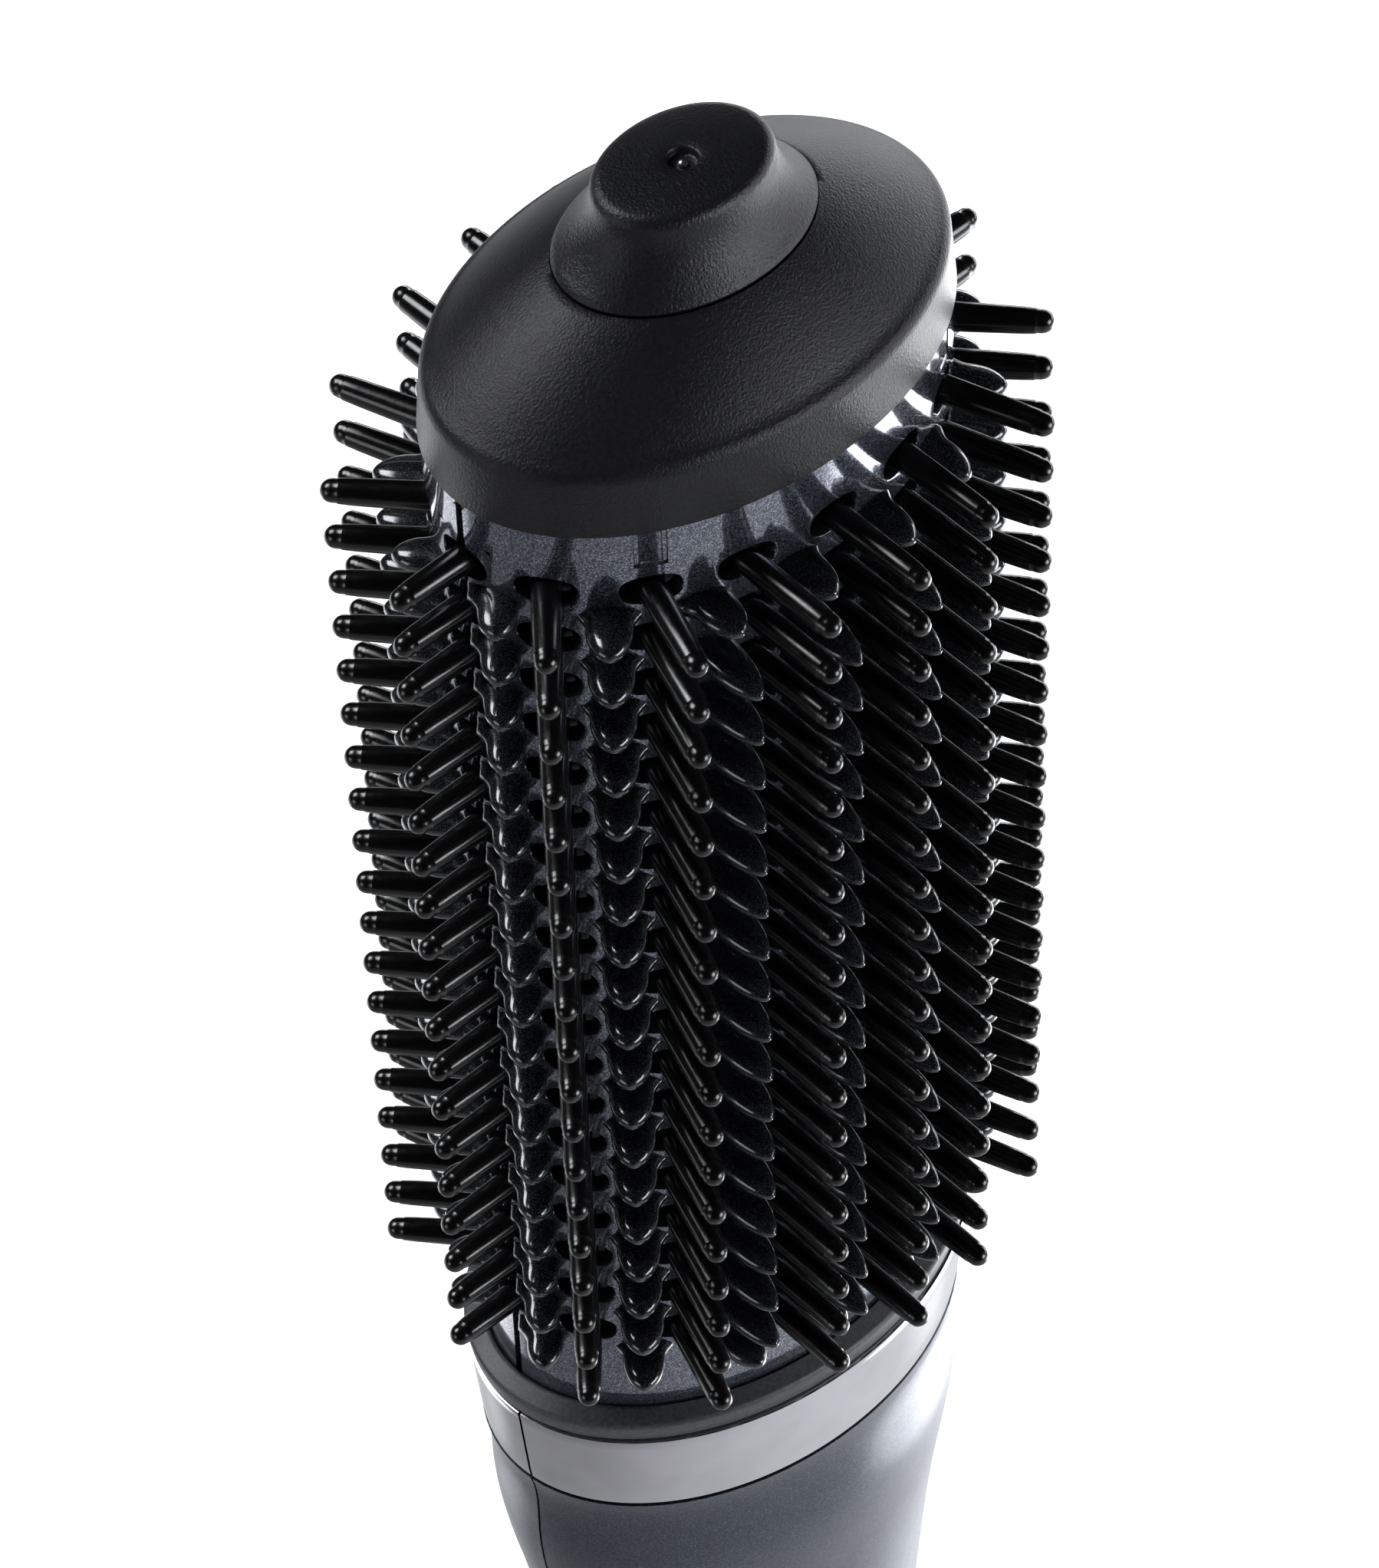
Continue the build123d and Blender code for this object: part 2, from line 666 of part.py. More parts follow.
# --- Collar and band ------------------------------------------------------------------------
def collar():
    """Sloping ring round the foot of the barrel."""
    inner_a = barrel_half_width + fit_gap
    inner_b = barrel_half_depth + fit_gap
    edge = (collar_edge, collar_half_width, collar_half_depth, 0)
    foot = (collar_bottom, band_top_half_width, collar_half_depth, 0)
    lip = (barrel_bottom, inner_a + collar_lip, inner_b + collar_lip, 0)
    ring = oval_loft([foot, edge]) + oval_loft([edge, lip])
    return ring - oval_prism(inner_a, inner_b, collar_bottom, barrel_bottom)


def band_outline(inset, low, high):
    """Slightly tapered oval between two heights on the band's own slope."""
    slope_a = (band_top_half_width - band_bottom_half_width) / band_height
    slope_b = (band_top_half_depth - band_bottom_half_depth) / band_height
    sections = []
    for z in (low, high):
        half_width = band_bottom_half_width + slope_a * (z - band_bottom) - inset
        half_depth = band_bottom_half_depth + slope_b * (z - band_bottom) - inset
        sections.append((z, half_width, half_depth, 0))
    return oval_loft(sections)


def band():
    """Whole polished band, before it is split."""
    return band_outline(0, band_bottom, band_top) - band_outline(band_wall, band_bottom, band_top)


# --- Handle ---------------------------------------------------------------------------------
def handle_shell():
    """Hollow handle with the neck that the band, collar and barrel sit on."""
    shell = oval_loft(grip_outline())
    shell += band_outline(band_wall + fit_gap, handle_length, collar_bottom)
    hollow = oval_loft(grip_outline(handle_wall)) & slab(tail_height + shell_lip, neck_bottom)
    shell -= hollow
    shell -= round_bar(frame_radius + fit_gap, tail_height, tail_height + shell_lip)
    shell -= oval_prism(spigot_half_width + fit_gap, spigot_half_depth + fit_gap, spigot_bottom, collar_bottom)
    ledge_a = spigot_half_width - barrel_wall
    ledge_b = spigot_half_depth - barrel_wall
    return shell - oval_prism(ledge_a, ledge_b, neck_bottom, spigot_bottom)


def boss_spots():
    """Centres (x, z) of the shell screws."""
    spots = [(low_boss_x, low_boss_height), (high_boss_x, high_boss_height)]
    return [(side * x, z) for x, z in spots for side in (-1, 1)]


def plate_prism(grow):
    """Rounded prism of the control plate, from the middle out through the front."""
    outline = SlotOverall(plate_length + 2 * grow, plate_width + 2 * grow, rotation=90)
    return extrude(Plane.XZ * (Pos(0, plate_middle) * outline), beyond)


def control_plate():
    """Thin plate inlaid in the front shell, round the buttons."""
    skin = oval_loft(grip_outline()) - oval_loft(grip_outline(plate_thickness))
    plate = skin & plate_prism(0)
    plate -= [cross_bar(button_radius + run_gap, -beyond, 0, 0, z) for z in button_heights]
    return plate - lens_prism(fit_gap)


def lens_prism(grow):
    """Rounded prism of the indicator lens, from the middle out through the front."""
    z = button_heights[-1] + button_radius + run_gap + lens_gap + lens_length / 2
    outline = SlotOverall(lens_length + 2 * grow, lens_width + 2 * grow, rotation=90)
    return extrude(Plane.XZ * (Pos(0, z) * outline), beyond)


def indicator_lens():
    """Clear lens over the lamps, flush with the control plate."""
    skin = oval_loft(grip_outline()) - oval_loft(grip_outline(handle_wall))
    return skin & lens_prism(0)


def handle_front(shell):
    """Front shell with screw bosses, board posts and the openings of the controls."""
    front = shell & front_of(split_y - split_gap / 2)
    outer = oval_loft(grip_outline(handle_wall / 2))
    bosses = [cross_bar(boss_radius, -beyond, split_y - split_gap / 2, x, z) for x, z in boss_spots()]
    posts = [cross_bar(post_radius, -beyond, board_front, x, z) for x, z in post_spots()]
    front += [outer & solid for solid in bosses + posts]
    hole_end = split_y - screw_reach - screw_end_gap
    front -= [cross_bar(screw_radius + fit_gap, hole_end, 0, x, z) for x, z in boss_spots()]
    pocket = plate_prism(fit_gap) - oval_loft(grip_outline(plate_thickness + fit_gap / 2))
    front -= pocket
    front -= [cross_bar(button_radius + run_gap, -beyond, 0, 0, z) for z in button_heights]
    return front - lens_prism(fit_gap)


def handle_back(shell):
    """Back shell with bosses and deep seats for the screw heads."""
    back = shell - front_of(split_y + split_gap / 2)
    outer = oval_loft(grip_outline(handle_wall / 2))
    bosses = [cross_bar(boss_radius, split_y + split_gap / 2, beyond, x, z) for x, z in boss_spots()]
    back += [outer & solid for solid in bosses]
    back -= [cross_bar(screw_radius + 2 * fit_gap, split_y, beyond, x, z) for x, z in boss_spots()]
    sink = screw_head_radius + 2 * fit_gap
    return back - [cross_bar(sink, screw_head_seat, beyond, x, z) for x, z in boss_spots()]


def shell_screws():
    """Screws that draw the two shells together."""
    screws = []
    for x, z in boss_spots():
        shank = cross_bar(screw_radius, split_y - screw_reach, screw_head_seat, x, z)
        head = cross_bar(screw_head_radius, screw_head_seat, screw_head_seat + screw_head_height, x, z)
        screws.append(shank + head)
    return Compound(screws)


# --- Controls -------------------------------------------------------------------------------
button_face = -(grip_half_depth + grip_forward + button_proud)
flange_front = button_face + button_proud + handle_wall + button_clear
flange_back = flange_front + button_flange_height
switch_front = flange_back + button_travel + switch_spare
board_front = switch_front + switch_height


def post_spots():
    """Centres (x, z) of the posts under the circuit board."""
    x = board_width / 2 - post_radius
    return [(side * x, z) for side in (-1, 1) for z in (board_bottom + post_margin, board_top - post_margin)]


def button(z):
    """Round push button with a retaining flange."""
    cap = cross_bar(button_radius, button_face, flange_front, 0, z)
    cap = fillet(cap.edges().group_by(Axis.Y)[0], button_round)
    return cap + cross_bar(button_radius + button_flange, flange_front, flange_back, 0, z)


def circuit_board():
    """Control board behind the buttons."""
    middle = Pos(0, board_front + circuit_board_thickness / 2, plate_middle)
    return middle * Box(board_width, circuit_board_thickness, board_length)


def tact_switches():
    """One switch on the board behind each button."""
    switches = []
    for z in button_heights:
        body = Pos(0, (switch_front + plunger_height + board_front) / 2, z)
        body *= Box(switch_size, switch_height - plunger_height, switch_size)
        switches.append(body + cross_bar(plunger_radius, switch_front, board_front, 0, z))
    return Compound(switches)


# --- Motor and fan --------------------------------------------------------------------------
shell_room = eased(grip_stations(), duct_bottom, 2) - handle_wall
duct_off_centre = abs(eased(grip_stations(), duct_bottom, 3) - duct_forward)
duct_radius = shell_room - duct_off_centre - duct_room
motor_radius = duct_radius - duct_wall - duct_passage
rotor_radius = motor_radius - motor_wall - magnet_thickness - rotor_gap


def on_fan_axis(shape):
    """Moves a shape from the brush's centre line to the fan's."""
    return Pos(0, -duct_forward, 0) * shape


def motor_duct():
    """Round duct with guide vanes that hold the motor in the middle."""
    top = duct_bottom + duct_length
    duct = round_bar(duct_radius, duct_bottom, top) - round_bar(duct_radius - duct_wall, duct_bottom, top)
    inner = motor_radius + seat_wall
    sleeve = round_bar(inner, motor_bottom, motor_bottom + vane_height)
    reach = (inner + duct_radius - duct_wall) / 2
    length = duct_radius - duct_wall - inner + seat_wall + duct_wall / 2
    vane = Pos(reach, 0, motor_bottom + vane_height / 2) * Box(length, vane_thickness, vane_height)
    duct += [sleeve] + [Rot(0, 0, turn * 360 / vane_count) * vane for turn in range(vane_count)]
    return on_fan_axis(duct - round_bar(motor_radius + fit_gap, motor_bottom, motor_bottom + vane_height))


def gasket(low):
    """Soft oval ring between the duct and the shells."""
    ring = oval_loft(grip_outline(handle_wall + fit_gap)) & slab(low, low + gasket_height)
    return ring - on_fan_axis(round_bar(duct_radius + shaft_gap, low, low + gasket_height))


def motor_can():
    """Steel can of the motor, closed at both ends round its bushes."""
    top = motor_bottom + motor_length
    can = round_bar(motor_radius, motor_bottom, top)
    can -= round_bar(motor_radius - motor_wall, motor_bottom + motor_wall, top - motor_wall)
    return on_fan_axis(can - round_bar(bush_radius, motor_bottom, top))


def motor_bushes():
    """Two plain bushes that the shaft runs in."""
    ends = (motor_bottom, motor_bottom + motor_length - bush_length)
    bushes = [round_bar(bush_radius, z, z + bush_length) for z in ends]
    bore = round_bar(shaft_radius + shaft_gap, motor_bottom, motor_bottom + motor_length)
    return Compound([on_fan_axis(bush - bore) for bush in bushes])


def rotor_bottom():
    """Height at which the rotor starts, half way up the can."""
    return motor_bottom + (motor_length - rotor_length) / 2


def motor_magnets():
    """Ring magnet pressed into the can."""
    low = rotor_bottom() - magnet_overhang
    high = rotor_bottom() + rotor_length + magnet_overhang
    outer = motor_radius - motor_wall
    return on_fan_axis(round_bar(outer, low, high) - round_bar(outer - magnet_thickness, low, high))


def rotor_core():
    """Slotted rotor on the shaft."""
    low = rotor_bottom()
    core = round_bar(rotor_radius, low, low + rotor_length) - round_bar(shaft_radius, low, low + rotor_length)
    groove = Pos(rotor_radius, 0, low + rotor_length / 2)
    groove *= Box(2 * rotor_slot_depth, rotor_slot_width, rotor_length)
    return on_fan_axis(core - [Rot(0, 0, turn * 360 / rotor_slots) * groove for turn in range(rotor_slots)])


def motor_shaft():
    """Shaft from the impeller's nose to the far bush."""
    low = impeller_bottom + blade_edge
    return on_fan_axis(round_bar(shaft_radius, low, motor_bottom + motor_length + blade_edge))


def impeller():
    """Axial fan with twisted-set blades on a round hub."""
    high = impeller_bottom + impeller_height
    hub = round_bar(impeller_hub_radius, impeller_bottom, high)
    hub = fillet(hub.edges().group_by(Axis.Z)[0], impeller_nose)
    tip = duct_radius - duct_wall - run_gap
    reach = (tip + impeller_hub_radius) / 2
    length = tip - impeller_hub_radius + impeller_nose
    blade = Rot(blade_pitch_angle, 0, 0) * Box(length, blade_thickness, 2 * impeller_height)
    blade = Pos(reach, 0, impeller_bottom + impeller_height / 2) * blade
    blades = [Rot(0, 0, turn * 360 / blade_count) * blade for turn in range(blade_count)]
    sweep_space = round_bar(tip, impeller_bottom + blade_edge, high - blade_edge)
    fan = hub + [sweep_space & one for one in blades]
    return on_fan_axis(fan - round_bar(shaft_radius, impeller_bottom, high))


# --- Tail -----------------------------------------------------------------------------------
def tail_frame():
    """Cage under the handle: foot plate, air slots, gland cup and a flange in the shells."""
    top = tail_height + shell_lip
    frame = round_bar(frame_radius, 0, top)
    flange_top = top + frame_flange
    frame += oval_loft(grip_outline(handle_wall + fit_gap)) & slab(top, flange_top)
    frame -= round_bar(frame_radius - frame_wall, base_height, flange_top)
    cup = gland_flange_radius + run_gap
    cup_top = base_height + gland_flange_height + 2 * run_gap
    frame += round_bar(cup + cup_wall, base_height, cup_top) - round_bar(cup, base_height, cup_top)
    frame -= round_bar(gland_radius + run_gap, 0, base_height)
    slot_middle = (cup_top + tail_height) / 2
    slot = Pos(0, 0, slot_middle) * Box(beyond, frame_slot_width, tail_height - cup_top - 2 * frame_slot_margin)
    frame -= [Rot(0, 0, turn * 180 / frame_slot_pairs) * slot for turn in range(frame_slot_pairs)]
    rim = frame.edges().filter_by(GeomType.CIRCLE).group_by(Axis.Z)[0].sort_by(SortBy.RADIUS)[-1:]
    return fillet(rim, foot_round)


def sleeve_inner():
    """Inner radius of the sleeve, outside its mesh."""
    return frame_radius + run_gap + mesh_thickness


def filter_sleeve():
    """Slotted sleeve over the tail that slides off downwards."""
    top = tail_height - line_gap
    sleeve = round_bar(sleeve_inner() + sleeve_wall, sleeve_floor_gap, top)
    sleeve = fillet(sleeve.edges().group_by(Axis.Z)[0], sleeve_round)
    sleeve -= round_bar(sleeve_inner(), sleeve_floor_gap, top)
    length = (top - sleeve_floor_gap - 2 * sleeve_end - sleeve_bridge) / 2
    slot = extrude(Plane.YZ * SlotOverall(length, sleeve_slot_width, rotation=90), beyond, both=True)
    low_level = sleeve_floor_gap + sleeve_end + length / 2
    step = 180 / sleeve_slot_pairs
    for z in (low_level, low_level + length + sleeve_bridge):
        sleeve -= [Pos(0, 0, z) * Rot(0, 0, turn * step) * slot for turn in range(sleeve_slot_pairs)]
    return sleeve


def filter_mesh():
    """Fine mesh liner inside the sleeve, as a thin tube."""
    low = sleeve_floor_gap + mesh_margin
    high = tail_height - line_gap - mesh_margin
    return round_bar(sleeve_inner(), low, high) - round_bar(sleeve_inner() - mesh_thickness, low, high)


def cord_gland():
    """Swivelling gland with the bore that the cord comes out of."""
    gland = round_bar(gland_radius, gland_floor_gap, gland_length)
    gland = fillet(gland.edges().group_by(Axis.Z)[0], gland_round)
    flange_floor = base_height + run_gap
    gland += round_bar(gland_flange_radius, flange_floor, flange_floor + gland_flange_height)
    return gland - round_bar(gland_bore_radius, gland_floor_gap, gland_length)


def gland_retainer():
    """Ring on the cup that keeps the gland in."""
    low = base_height + gland_flange_height + 2 * run_gap
    ring = round_bar(gland_flange_radius + run_gap + cup_wall, low, low + retainer_height)
    return ring - round_bar(gland_radius + run_gap, low, low + retainer_height)


# --- Every piece, written to its own file ---------------------------------------------------
def all_pieces():
    """Name and shape of every piece."""
    shell = handle_shell()
    whole_band = band()
    front = barrel_front()
    pieces = {
        "end_cap": end_cap(),
        "cap_screws": cap_screws(),
        "cool_tip_knob": cool_tip_knob(),
        "tip_pin": tip_pin(),
        "barrel_front": front,
        "barrel_back": Rot(0, 0, 180) * front,
        "bristle_ring_top": bristle_ring_top(),
        "bristle_ring_bottom": bristle_ring_bottom(),
        "air_core": air_core(),
        "heater_board_wide": heater_board_wide(),
        "heater_board_narrow": heater_board_narrow(),
        "heater_winding": heater_winding(),
        "heater_base": heater_base(),
        "thermostat": thermostat(),
        "thermal_fuse": thermal_fuse(),
        "collar": collar(),
        "band_front": whole_band & front_of(split_y - split_gap / 2),
        "band_back": whole_band - front_of(split_y + split_gap / 2),
        "handle_front": handle_front(shell),
        "handle_back": handle_back(shell),
        "shell_screws": shell_screws(),
        "control_plate": control_plate(),
        "indicator_lens": indicator_lens(),
        "cool_shot_button": button(button_heights[0]),
        "power_button": button(button_heights[1]),
        "heat_button": button(button_heights[2]),
        "circuit_board": circuit_board(),
        "tact_switches": tact_switches(),
        "motor_duct": motor_duct(),
        "motor_gasket_lower": gasket(duct_bottom + gasket_margin),
        "motor_gasket_upper": gasket(duct_bottom + duct_length - gasket_margin - gasket_height),
        "motor_can": motor_can(),
        "motor_bushes": motor_bushes(),
        "motor_magnets": motor_magnets(),
        "rotor_core": rotor_core(),
        "motor_shaft": motor_shaft(),
        "impeller": impeller(),
        "tail_frame": tail_frame(),
        "filter_sleeve": filter_sleeve(),
        "filter_mesh": filter_mesh(),
        "cord_gland": cord_gland(),
        "gland_retainer": gland_retainer(),
    }
    pieces.update(bristle_strips())
    return pieces


os.makedirs("parts", exist_ok=True)
for name, shape in all_pieces().items():
    export_step(shape, f"parts/{name}.step")
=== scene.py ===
import math

import bmesh
import bpy
import numpy as np
from mathutils import Matrix, Vector


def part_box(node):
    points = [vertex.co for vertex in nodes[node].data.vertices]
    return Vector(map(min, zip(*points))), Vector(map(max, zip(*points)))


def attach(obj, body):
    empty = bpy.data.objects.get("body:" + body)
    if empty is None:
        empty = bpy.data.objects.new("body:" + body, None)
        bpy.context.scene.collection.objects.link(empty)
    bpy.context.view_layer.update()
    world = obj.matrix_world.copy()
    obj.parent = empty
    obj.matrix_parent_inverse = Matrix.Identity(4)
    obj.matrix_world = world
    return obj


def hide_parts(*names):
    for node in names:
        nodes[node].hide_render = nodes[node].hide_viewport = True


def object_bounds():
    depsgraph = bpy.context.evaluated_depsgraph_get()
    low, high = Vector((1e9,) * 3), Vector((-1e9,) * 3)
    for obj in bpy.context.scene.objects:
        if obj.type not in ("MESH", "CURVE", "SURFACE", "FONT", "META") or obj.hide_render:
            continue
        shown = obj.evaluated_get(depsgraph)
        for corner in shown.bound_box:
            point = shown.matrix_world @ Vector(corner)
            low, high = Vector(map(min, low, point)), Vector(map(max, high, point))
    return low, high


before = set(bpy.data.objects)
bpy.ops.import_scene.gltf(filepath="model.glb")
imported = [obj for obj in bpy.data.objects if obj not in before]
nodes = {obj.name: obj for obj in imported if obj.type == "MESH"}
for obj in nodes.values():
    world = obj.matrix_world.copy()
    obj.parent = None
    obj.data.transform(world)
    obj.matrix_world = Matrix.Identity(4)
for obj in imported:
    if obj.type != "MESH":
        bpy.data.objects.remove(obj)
cad_low, cad_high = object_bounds()

# Hot air brush. Everything is in metres in the CAD frame; the sizes below are written in
# millimetres and multiplied by MM where they are used.
MM = 0.001

# --- Levels and sizes read from the frame ----------------------------------------------------
knob_height = 8.5 * MM
bare_barrel = 132.1 * MM               # from the collar up to the cap
brush_top = cad_high.z
seam_level = brush_top - knob_height
cap_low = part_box("collar")[1].z + bare_barrel
collar_low, collar_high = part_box("collar")[0].z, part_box("collar")[1].z
band_low, band_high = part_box("band_front")[0].z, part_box("band_front")[1].z
strip_low, strip_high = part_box("bristle_strip_01")[0].z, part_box("bristle_strip_01")[1].z

barrel_a, barrel_b = 28.5 * MM, 19.6 * MM
pitch = 6.2 * MM
row_count = 19
first_row_drop = 7.6 * MM
first_row = cap_low - first_row_drop
last_row = first_row - (row_count - 1) * pitch
slot_half_width, slot_half_height = 2.9 * MM, 1.75 * MM
cell_half_width = 3.6 * MM
barrel_wall = 1.6 * MM
parting_half_gap = 0.45 * MM
split_y = -2.0 * MM
split_half_gap = 0.16 * MM

# Pins: station on the oval, direction, length outside the skin (degrees, degrees, mm)
pin_columns = [(0, 0, 8.5), (25.5, 48.5, 9.8), (49.5, 70.5, 11.5), (70, 89, 12.2), (90, 90, 12.4)]
# Petals: station, direction, length, length at the ends of the column, half widths of the
# shoulder and of the flared root
petal_columns = [
    (12, 46.5, 4.5, 4.5, 1.95, 2.9),
    (40, 48.5, 5.3, 5.3, 2.25, 3.2),
    (61, 84, 8.2, 5.5, 2.2, 3.1),
    (80.5, 87.5, 9.2, 5.7, 2.2, 3.0),
]


# --- Mesh helpers ----------------------------------------------------------------------------
def add_piece(name, verts, faces, material, body, slot, replaced=(), sharp=38):
    """New mesh object of the brush, smooth shaded with sharp edges kept."""
    mesh = bpy.data.meshes.new(name)
    mesh.from_pydata([tuple(v) for v in verts], [], [tuple(f) for f in faces])
    mesh.validate()
    mesh.update()
    for polygon in mesh.polygons:
        polygon.use_smooth = True
    mesh.set_sharp_from_angle(angle=math.radians(sharp))
    mesh.materials.append(material)
    piece = bpy.data.objects.new(name, mesh)
    bpy.context.scene.collection.objects.link(piece)
    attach(piece, body)
    if replaced:
        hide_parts(*replaced)
    return piece


def merge(parts):
    """One vertex array and face list from several (verts, faces) pairs."""
    verts, faces, start = [], [], 0
    for part_verts, part_faces in parts:
        verts.append(np.asarray(part_verts, float))
        faces += [tuple(i + start for i in face) for face in part_faces]
        start += len(part_verts)
    return np.concatenate(verts), faces


def ring_faces(rings, count, closed=True):
    """Quads between neighbouring rings of count points each."""
    faces = []
    last = count if closed else count - 1
    for ring in range(rings - 1):
        for i in range(last):
            j = (i + 1) % count
            low, high = ring * count, (ring + 1) * count
            faces.append((low + i, low + j, high + j, high + i))
    return faces


def oval_surface(profile, segments=160):
    """Closed oval solid through (z, half width, half depth) rings, from the foot up, ends filled."""
    angles = np.linspace(0, 2 * math.pi, segments, endpoint=False)
    verts = []
    for z, a, b in profile:
        verts += [(a * math.cos(t), b * math.sin(t), z) for t in angles]
    faces = ring_faces(len(profile), segments)
    faces.append(tuple(reversed(range(segments))))
    top = (len(profile) - 1) * segments
    faces.append(tuple(range(top, top + segments)))
    return verts, faces


def arc_profile(z, a, b, radius, start, end, steps):
    """Rings round a quarter arc: centre level z, outermost half widths a and b at angle 0."""
    rings = []
    for step in range(steps + 1):
        turn = math.radians(start + (end - start) * step / steps)
        inset = radius * (1 - math.cos(turn))
        rings.append((z + radius * math.sin(turn), a - inset, b - inset))
    return rings


def swept_loop(profile, start_of, end_of, segments):
    """Closed profile loop of (z, a, b) swept along part of the oval, its two ends filled."""
    count = len(profile)
    verts = []
    for step in range(segments + 1):
        for z, a, b in profile:
            t0, t1 = start_of(b), end_of(b)
            t = t0 + (t1 - t0) * step / segments
            verts.append((a * math.cos(t), b * math.sin(t), z))
    faces = ring_faces(segments + 1, count)
    faces.append(tuple(range(count)))
    faces.append(tuple(reversed(range(segments * count, (segments + 1) * count))))
    return verts, faces


def turned(verts, x, y, z, degrees):
    """Vertices turned about Z and moved."""
    c, s = math.cos(math.radians(degrees)), math.sin(math.radians(degrees))
    verts = np.asarray(verts, float)
    turned_x = verts[:, 0] * c - verts[:, 1] * s + x
    turned_y = verts[:, 0] * s + verts[:, 1] * c + y
    return np.stack([turned_x, turned_y, verts[:, 2] + z], -1)


def quadrant_copies(station, direction):
    """Places (x, y, direction, station) of one column in all the quadrants it belongs to."""
    x = barrel_a * math.cos(math.radians(station))
    y = barrel_b * math.sin(math.radians(station))
    places = [(x, y, direction, station), (-x, -y, direction + 180, station + 180)]
    if station not in (0, 90):
        places += [(-x, y, 180 - direction, 180 - station), (x, -y, -direction, -station)]
    return [(px, py, d % 360, t % 360) for px, py, d, t in places]


# --- Materials -------------------------------------------------------------------------------
def new_material(name, color, roughness, metallic=0.0, coat=0.0, coat_roughness=0.03):
    """Principled material; returns it with its nodes, links and shader."""
    material = bpy.data.materials.new(name)
    material.use_nodes = True
    tree = material.node_tree
    shader = tree.nodes["Principled BSDF"]
    shader.inputs["Base Color"].default_value = (*color, 1)
    shader.inputs["Roughness"].default_value = roughness
    shader.inputs["Metallic"].default_value = metallic
    shader.inputs["Coat Weight"].default_value = coat
    shader.inputs["Coat Roughness"].default_value = coat_roughness
    return material, tree.nodes, tree.links, shader


def noise(tree_nodes, links, size, detail=2.0, rough=0.5, stretch=(1, 1, 1)):
    """Noise texture with features of about this size in metres; returns its factor socket."""
    place = tree_nodes.new("ShaderNodeTexCoord")
    mapping = tree_nodes.new("ShaderNodeMapping")
    mapping.inputs["Scale"].default_value = stretch
    texture = tree_nodes.new("ShaderNodeTexNoise")
    texture.inputs["Scale"].default_value = 1 / size
    texture.inputs["Detail"].default_value = detail
    texture.inputs["Roughness"].default_value = rough
    links.new(place.outputs["Object"], mapping.inputs["Vector"])
    links.new(mapping.outputs["Vector"], texture.inputs["Vector"])
    return texture.outputs["Fac"]


def ramp(tree_nodes, links, source, low, high, low_at=0.35, high_at=0.65):
    """Colour ramp over a factor socket; returns its colour socket."""
    node = tree_nodes.new("ShaderNodeValToRGB")
    node.color_ramp.elements[0].position = low_at
    node.color_ramp.elements[1].position = high_at
    node.color_ramp.elements[0].color = (*low, 1)
    node.color_ramp.elements[1].color = (*high, 1)
    links.new(source, node.inputs["Fac"])
    return node.outputs["Color"]


def span(tree_nodes, links, source, low, high, from_low=0.3, from_high=0.7):
    """Factor socket mapped to a range of numbers."""
    node = tree_nodes.new("ShaderNodeMapRange")
    node.inputs["From Min"].default_value = from_low
    node.inputs["From Max"].default_value = from_high
    node.inputs["To Min"].default_value = low
    node.inputs["To Max"].default_value = high
    links.new(source, node.inputs["Value"])
    return node.outputs["Result"]


def bump(tree_nodes, links, shader, source, distance):
    """Bump from a factor socket into the shader."""
    node = tree_nodes.new("ShaderNodeBump")
    node.inputs["Distance"].default_value = distance
    links.new(source, node.inputs["Height"])
    links.new(node.outputs["Normal"], shader.inputs["Normal"])


def soft_touch(name, color, grain, depth, roughness, specular=0.5):
    """Matte moulded plastic with an eroded grain."""
    material, tn, links, shader = new_material(name, color, roughness)
    shader.inputs["Specular IOR Level"].default_value = specular
    fine = noise(tn, links, grain, 3.0, 0.6)
    bump(tn, links, shader, fine, depth)
    light = tuple(min(1.0, c * 1.35) for c in color)
    dark = tuple(c * 0.75 for c in color)
    links.new(ramp(tn, links, noise(tn, links, grain * 1.3), dark, light), shader.inputs["Base Color"])
    wear = noise(tn, links, 18 * MM, 2.0)
    links.new(span(tn, links, wear, roughness - 0.04, roughness + 0.05), shader.inputs["Roughness"])
    return material


def flake_paint(name, color, flake_color, roughness, metallic, flake, coat, wave):
    """Metallic flake in plastic or lacquer: each flake tilts its own way."""
    material, tn, links, shader = new_material(name, color, roughness, metallic, coat)
    place = tn.new("ShaderNodeTexCoord")
    cells = tn.new("ShaderNodeTexVoronoi")
    cells.inputs["Scale"].default_value = 1 / flake
    links.new(place.outputs["Object"], cells.inputs["Vector"])
    brightness = tn.new("ShaderNodeSeparateColor")
    links.new(cells.outputs["Color"], brightness.inputs["Color"])
    picked = ramp(tn, links, brightness.outputs["Red"], color, flake_color, 0.55, 0.98)
    links.new(picked, shader.inputs["Base Color"])
    tilt = tn.new("ShaderNodeBump")
    tilt.inputs["Distance"].default_value = flake * wave
    tilt.inputs["Strength"].default_value = 0.6
    links.new(brightness.outputs["Green"], tilt.inputs["Height"])
    links.new(tilt.outputs["Normal"], shader.inputs["Normal"])
    cloudy = noise(tn, links, 9 * MM)
    links.new(span(tn, links, cloudy, roughness - 0.03, roughness + 0.04), shader.inputs["Roughness"])
    return material


